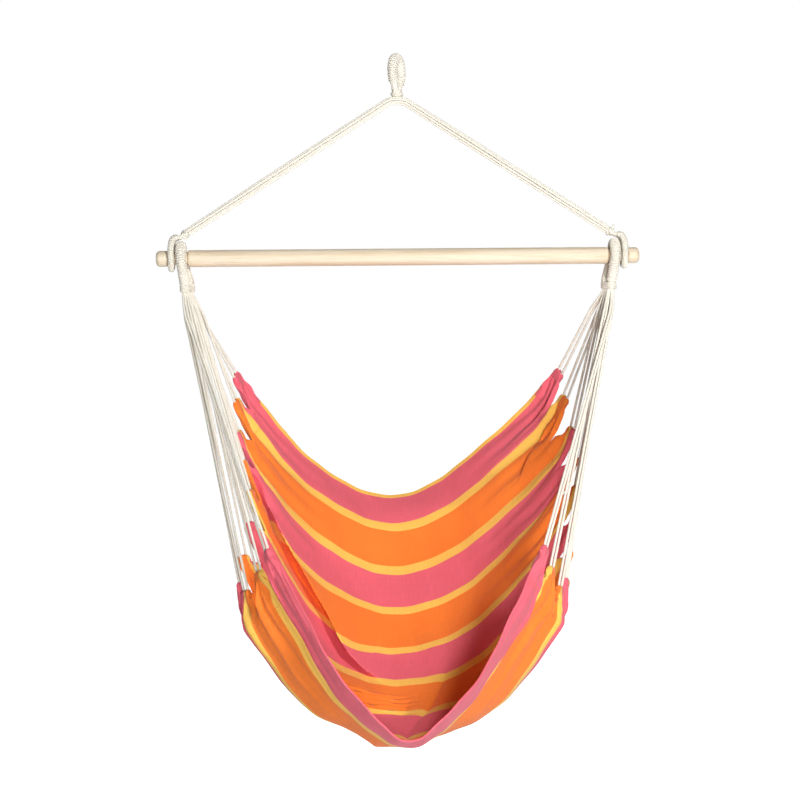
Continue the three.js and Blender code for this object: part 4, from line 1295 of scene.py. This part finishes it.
def hem_stitches(points, across, cloth, half):
    """Short stitches of thread in a line along each side hem: beads of five sides that lie on
    the cloth's face, one every 5 mm."""
    normals = surface_normals(points)
    rows, sides = len(STITCH_SHARES), 5
    row, column = tube_corners(rows, sides)
    fan = np.array([[0, 2, 1], [0, 3, 2], [0, 4, 3]])
    bead_faces = (row * sides + column % sides, fan, (rows - 1) * sides + fan[:, ::-1])
    angle = np.linspace(0, 2 * np.pi, sides + 1)[:-1, None]
    parts = []
    for _, hand in SIDES:
        hem = int(np.argmin(np.abs(across[0] - hand * (1 - cloth.hem_width / half))))
        run = run_length(points[:, hem])
        starts = np.arange(0.004, run[-1] - 0.006, STITCH_PITCH)
        at = (starts[:, None] + STITCH_SHARES * STITCH_LENGTH).reshape(-1)
        lift = (cloth.hem / 2 + np.tile(STITCH_LIFTS, len(starts)))[:, None]
        first = (np.arange(len(starts)) * rows * sides)[:, None, None]
        faces = [(first + each).reshape(-1, each.shape[1]) for each in bead_faces]
        for face in (1, -1):
            way = unit(places_at(at, run, normals[:, hem])) * face
            beads = (places_at(at, run, points[:, hem]) + way * lift).reshape(-1, rows, 3)
            normal = way.reshape(-1, rows, 3)
            side = np.cross(unit(beads[:, -1] - beads[:, 0])[:, None], normal)
            ring = np.cos(angle) * side[:, :, None] + np.sin(angle) * normal[:, :, None]
            vertices = (beads[:, :, None] + STITCH_RADIUS * ring).reshape(-1, 3)
            parts.append((vertices, [(each, np.zeros((*each.shape, 2))) for each in faces]))
    return parts


def build_cloth(places, scene):
    """The striped seat and the stitches of its side hems."""
    cloth = scene.hammock_cloth
    length, half = places.cloth_length, places.cloth_half
    points, quads, thickness, flat, sheet = striped_sheet(places, cloth)
    # On the left the folded hem covers the yellow edge, so the pink runs up to the back edge,
    # and on the right it leaves only the first millimetre of it.
    across, along = flat.T
    covered = (across < -(half - cloth.hem_width)) & (along < cloth.edge + 0.0005)
    narrowed = (across > half - cloth.hem_width) & (along > 0.001) & (along < cloth.edge)
    flat[covered, 1] = cloth.edge + COVERED_EDGE
    flat[narrowed, 1] = cloth.edge + NARROWED_EDGE
    part = thick_sheet(points, quads, thickness, flat)
    seat = piece("striped_seat_cloth", [part], "seat", "striped_cloth", ["seat_cloth"], crease=60)
    stitches = piece(
        "side_hem_stitches", hem_stitches(*sheet, cloth, half), "seat", "striped_cloth", [],
        thread_material(scene.hammock_colours.thread),
    )


# Spreader bar

def build_bar(places, scene):
    """Turned bar with a neck and a rounded knob at each end: its half profile runs from the
    middle out, with quarter rounds r (1 - cos a) at the shoulders and an oval end, and goes
    round the X axis as (x, r cos a, r sin a)."""
    bar = scene.hammock_bar
    radius, neck, knob = bar.diameter / 2, bar.neck / 2, bar.knob / 2
    quarter = np.linspace(0, np.pi / 2, 9)
    s, c = np.sin(quarter), np.cos(quarter)
    shoulder = places.neck_in - SHOULDER_ROUND
    body = np.array([[0, radius], [places.neck_in - BAR_RING, radius], [shoulder, radius]])
    down = np.stack([shoulder + SHOULDER_ROUND * s, neck + (radius - neck) * c], axis=1)[1:]
    up = np.stack([places.neck_out + NECK_END_ROUND * (1 - c), neck + (knob - neck) * s], axis=1)
    end = np.stack([bar.length / 2 - KNOB_ROUND * (1 - s), knob - KNOB_ROUND * (1 - c)], axis=1)
    profile = np.concatenate([body, down, up, end])
    profile = np.concatenate([profile[:0:-1] * [-1, 1], profile])
    angle = np.linspace(0, 2 * np.pi, BAR_SIDES + 1)
    x, r = profile[:, :1], profile[:, 1:]
    a = angle[:-1]
    points = np.stack([x + 0 * a, r * np.cos(a), places.bar_height + r * np.sin(a)], axis=-1)
    part = grid_part(points, angle / (2 * np.pi), run_length(profile))
    piece("turned_spreader_bar", [part], "bar", "bar_wood", ["spreader_bar"], crease=50)


# Studio

def background_factor(tree):
    """1 for camera, glossy and transmission rays, which see the plain white background."""
    rays = add_node(tree, "ShaderNodeLightPath").outputs
    pair = calculated(tree, "MAXIMUM", rays["Is Camera Ray"], rays["Is Glossy Ray"])
    return calculated(tree, "MAXIMUM", pair, rays["Is Transmission Ray"])


def add_floor(scene):
    """A wide pale floor. The lamps light it near the chair, so it glows less there than far
    off."""
    mesh = bpy.data.meshes.new("studio_floor")
    corners = [(x * FLOOR_HALF_SIZE, y * FLOOR_HALF_SIZE, FLOOR_HEIGHT) for x, y in FLOOR_CORNERS]
    mesh.from_pydata(corners, [], [(0, 1, 2, 3)])
    floor = bpy.data.objects.new("studio_floor", mesh)
    scene.collection.objects.link(floor)
    material, tree = new_material("Plain pale floor")
    place = add_node(tree, "ShaderNodeTexCoord").outputs["Object"]
    away = add_node(tree, "ShaderNodeVectorMath", {0: place}, operation="LENGTH").outputs["Value"]
    span = {0: away, 1: 0.8, 2: 5.5, 3: 0.90, 4: 1.03}
    extra = add_node(tree, "ShaderNodeMapRange", span, interpolation_type="SMOOTHSTEP").outputs[0]
    add_shader(tree, {
        "Base Color": (0.86, 0.86, 0.86, 1), "Roughness": 0.9, "Specular IOR Level": 0.1,
        "Emission Color": (1, 1, 1, 1),
        "Emission Strength": calculated(tree, "MULTIPLY", background_factor(tree), extra),
    })
    mesh.materials.append(material)


def set_world(scene):
    """Faint white light from all sides, and plain white where the background is seen."""
    world = bpy.data.worlds.new("Studio")
    world.use_nodes = True
    tree = world.node_tree
    tree.nodes.clear()
    soft, white = (
        add_node(tree, "ShaderNodeBackground", {"Color": (1, 1, 1, 1), "Strength": strength}).outputs[0]
        for strength in (0.03, 1.0)
    )
    seen = background_factor(tree)
    both = add_node(tree, "ShaderNodeMixShader", {0: seen, 1: soft, 2: white}).outputs[0]
    add_node(tree, "ShaderNodeOutputWorld", {"Surface": both})
    scene.world = world


def add_lamp(name, place, size, power):
    """A square area lamp that looks at the chair."""
    lamp = bpy.data.lights.new(name, "AREA")
    lamp.size = size
    lamp.energy = power
    made = bpy.data.objects.new(name, lamp)
    made.location = place
    back = unit(np.array(place, float) - np.array(LAMP_TARGET, float))
    right = unit(np.cross([0, 0, 1], back))
    turn = Matrix(np.stack([right, np.cross(back, right), back], axis=1).tolist())
    made.rotation_euler = turn.to_euler()
    bpy.context.scene.collection.objects.link(made)


def add_camera(scene):
    """The camera of the photograph, found from the bar and the hook."""
    camera = bpy.data.cameras.new("camera")
    camera.sensor_width = SENSOR_WIDTH
    camera.lens = SENSOR_WIDTH * FOCAL_LENGTH_PIXELS / PHOTO_WIDTH_PIXELS
    made = bpy.data.objects.new("camera", camera)
    x, y = CAMERA_DISTANCE * math.sin(CAMERA_TURN), -CAMERA_DISTANCE * math.cos(CAMERA_TURN)
    made.location = (x, y, CAMERA_HEIGHT)
    upright = Matrix.Rotation(CAMERA_TURN, 3, "Z") @ Matrix.Rotation(math.radians(90), 3, "X")
    made.rotation_euler = (upright @ Matrix.Rotation(CAMERA_ROLL, 3, "Z")).to_euler()
    scene.collection.objects.link(made)
    scene.camera = made


class Builder:
    """Builds one group of pieces from the scene's sizes"""

    def execute(self, context):
        self.build(Places(context.scene), context.scene)
        return {"FINISHED"}


class HAMMOCK_OT_spreader_bar(Builder, bpy.types.Operator):
    """Turn the spreader bar with its necks and knobs"""

    bl_idname = "hammock.spreader_bar"
    bl_label = "Spreader bar"
    build = staticmethod(build_bar)


class HAMMOCK_OT_hanging_loop(Builder, bpy.types.Operator):
    """Wind the hanging loop and the throat below it"""

    bl_idname = "hammock.hanging_loop"
    bl_label = "Hanging loop"
    build = staticmethod(build_hanging_loop)


class HAMMOCK_OT_suspension(Builder, bpy.types.Operator):
    """Lay the strands, knots and thin eyes of both legs"""

    bl_idname = "hammock.suspension"
    bl_label = "Suspension"
    build = staticmethod(build_suspension)


class HAMMOCK_OT_seat_eyes(Builder, bpy.types.Operator):
    """Wind the thick eyes that carry the seat"""

    bl_idname = "hammock.seat_eyes"
    bl_label = "Seat eyes"
    build = staticmethod(build_seat_eyes)


class HAMMOCK_OT_seat_cords(Builder, bpy.types.Operator):
    """Lay the cord loops between the seat eyes and the cloth"""

    bl_idname = "hammock.seat_cords"
    bl_label = "Seat cords"
    build = staticmethod(build_seat_cords)


class HAMMOCK_OT_seat_cloth(Builder, bpy.types.Operator):
    """Hang the striped cloth with its fingers, hems and folds"""

    bl_idname = "hammock.seat_cloth"
    bl_label = "Seat cloth"
    build = staticmethod(build_cloth)


class HAMMOCK_OT_studio(bpy.types.Operator):
    """Set up the pale floor, the soft lamps, the background and the camera"""

    bl_idname = "hammock.studio"
    bl_label = "Studio"

    def execute(self, context):
        add_floor(context.scene)
        set_world(context.scene)
        for lamp in LAMPS:
            add_lamp(*lamp)
        context.scene.view_settings.view_transform = "Standard"
        add_camera(context.scene)
        return {"FINISHED"}


OPERATORS = (
    HAMMOCK_OT_spreader_bar,
    HAMMOCK_OT_hanging_loop,
    HAMMOCK_OT_suspension,
    HAMMOCK_OT_seat_eyes,
    HAMMOCK_OT_seat_cords,
    HAMMOCK_OT_seat_cloth,
    HAMMOCK_OT_studio,
)


class HAMMOCK_PT_panel(bpy.types.Panel):
    """Sizes and colours of the hammock chair, and the buttons that build it"""

    bl_label = "Hammock chair"
    bl_idname = "HAMMOCK_PT_panel"
    bl_space_type = "VIEW_3D"
    bl_region_type = "UI"
    bl_category = "Hammock"

    def draw(self, context):
        for name, group in GROUPS.items():
            box = self.layout.box()
            box.label(text=group.__doc__)
            for key in group.__annotations__:
                box.prop(getattr(context.scene, name), key)
        for operator in OPERATORS:
            self.layout.operator(operator.bl_idname)


def register():
    for kind in (*GROUPS.values(), *OPERATORS, HAMMOCK_PT_panel):
        bpy.utils.register_class(kind)
    for name, group in GROUPS.items():
        setattr(bpy.types.Scene, name, PointerProperty(type=group))


def unregister():
    for name in GROUPS:
        delattr(bpy.types.Scene, name)
    for kind in reversed((*GROUPS.values(), *OPERATORS, HAMMOCK_PT_panel)):
        bpy.utils.unregister_class(kind)


def main():
    register()
    for operator in OPERATORS:
        area, name = operator.bl_idname.split(".")
        getattr(getattr(bpy.ops, area), name)()


if __name__ == "__main__":
    main()
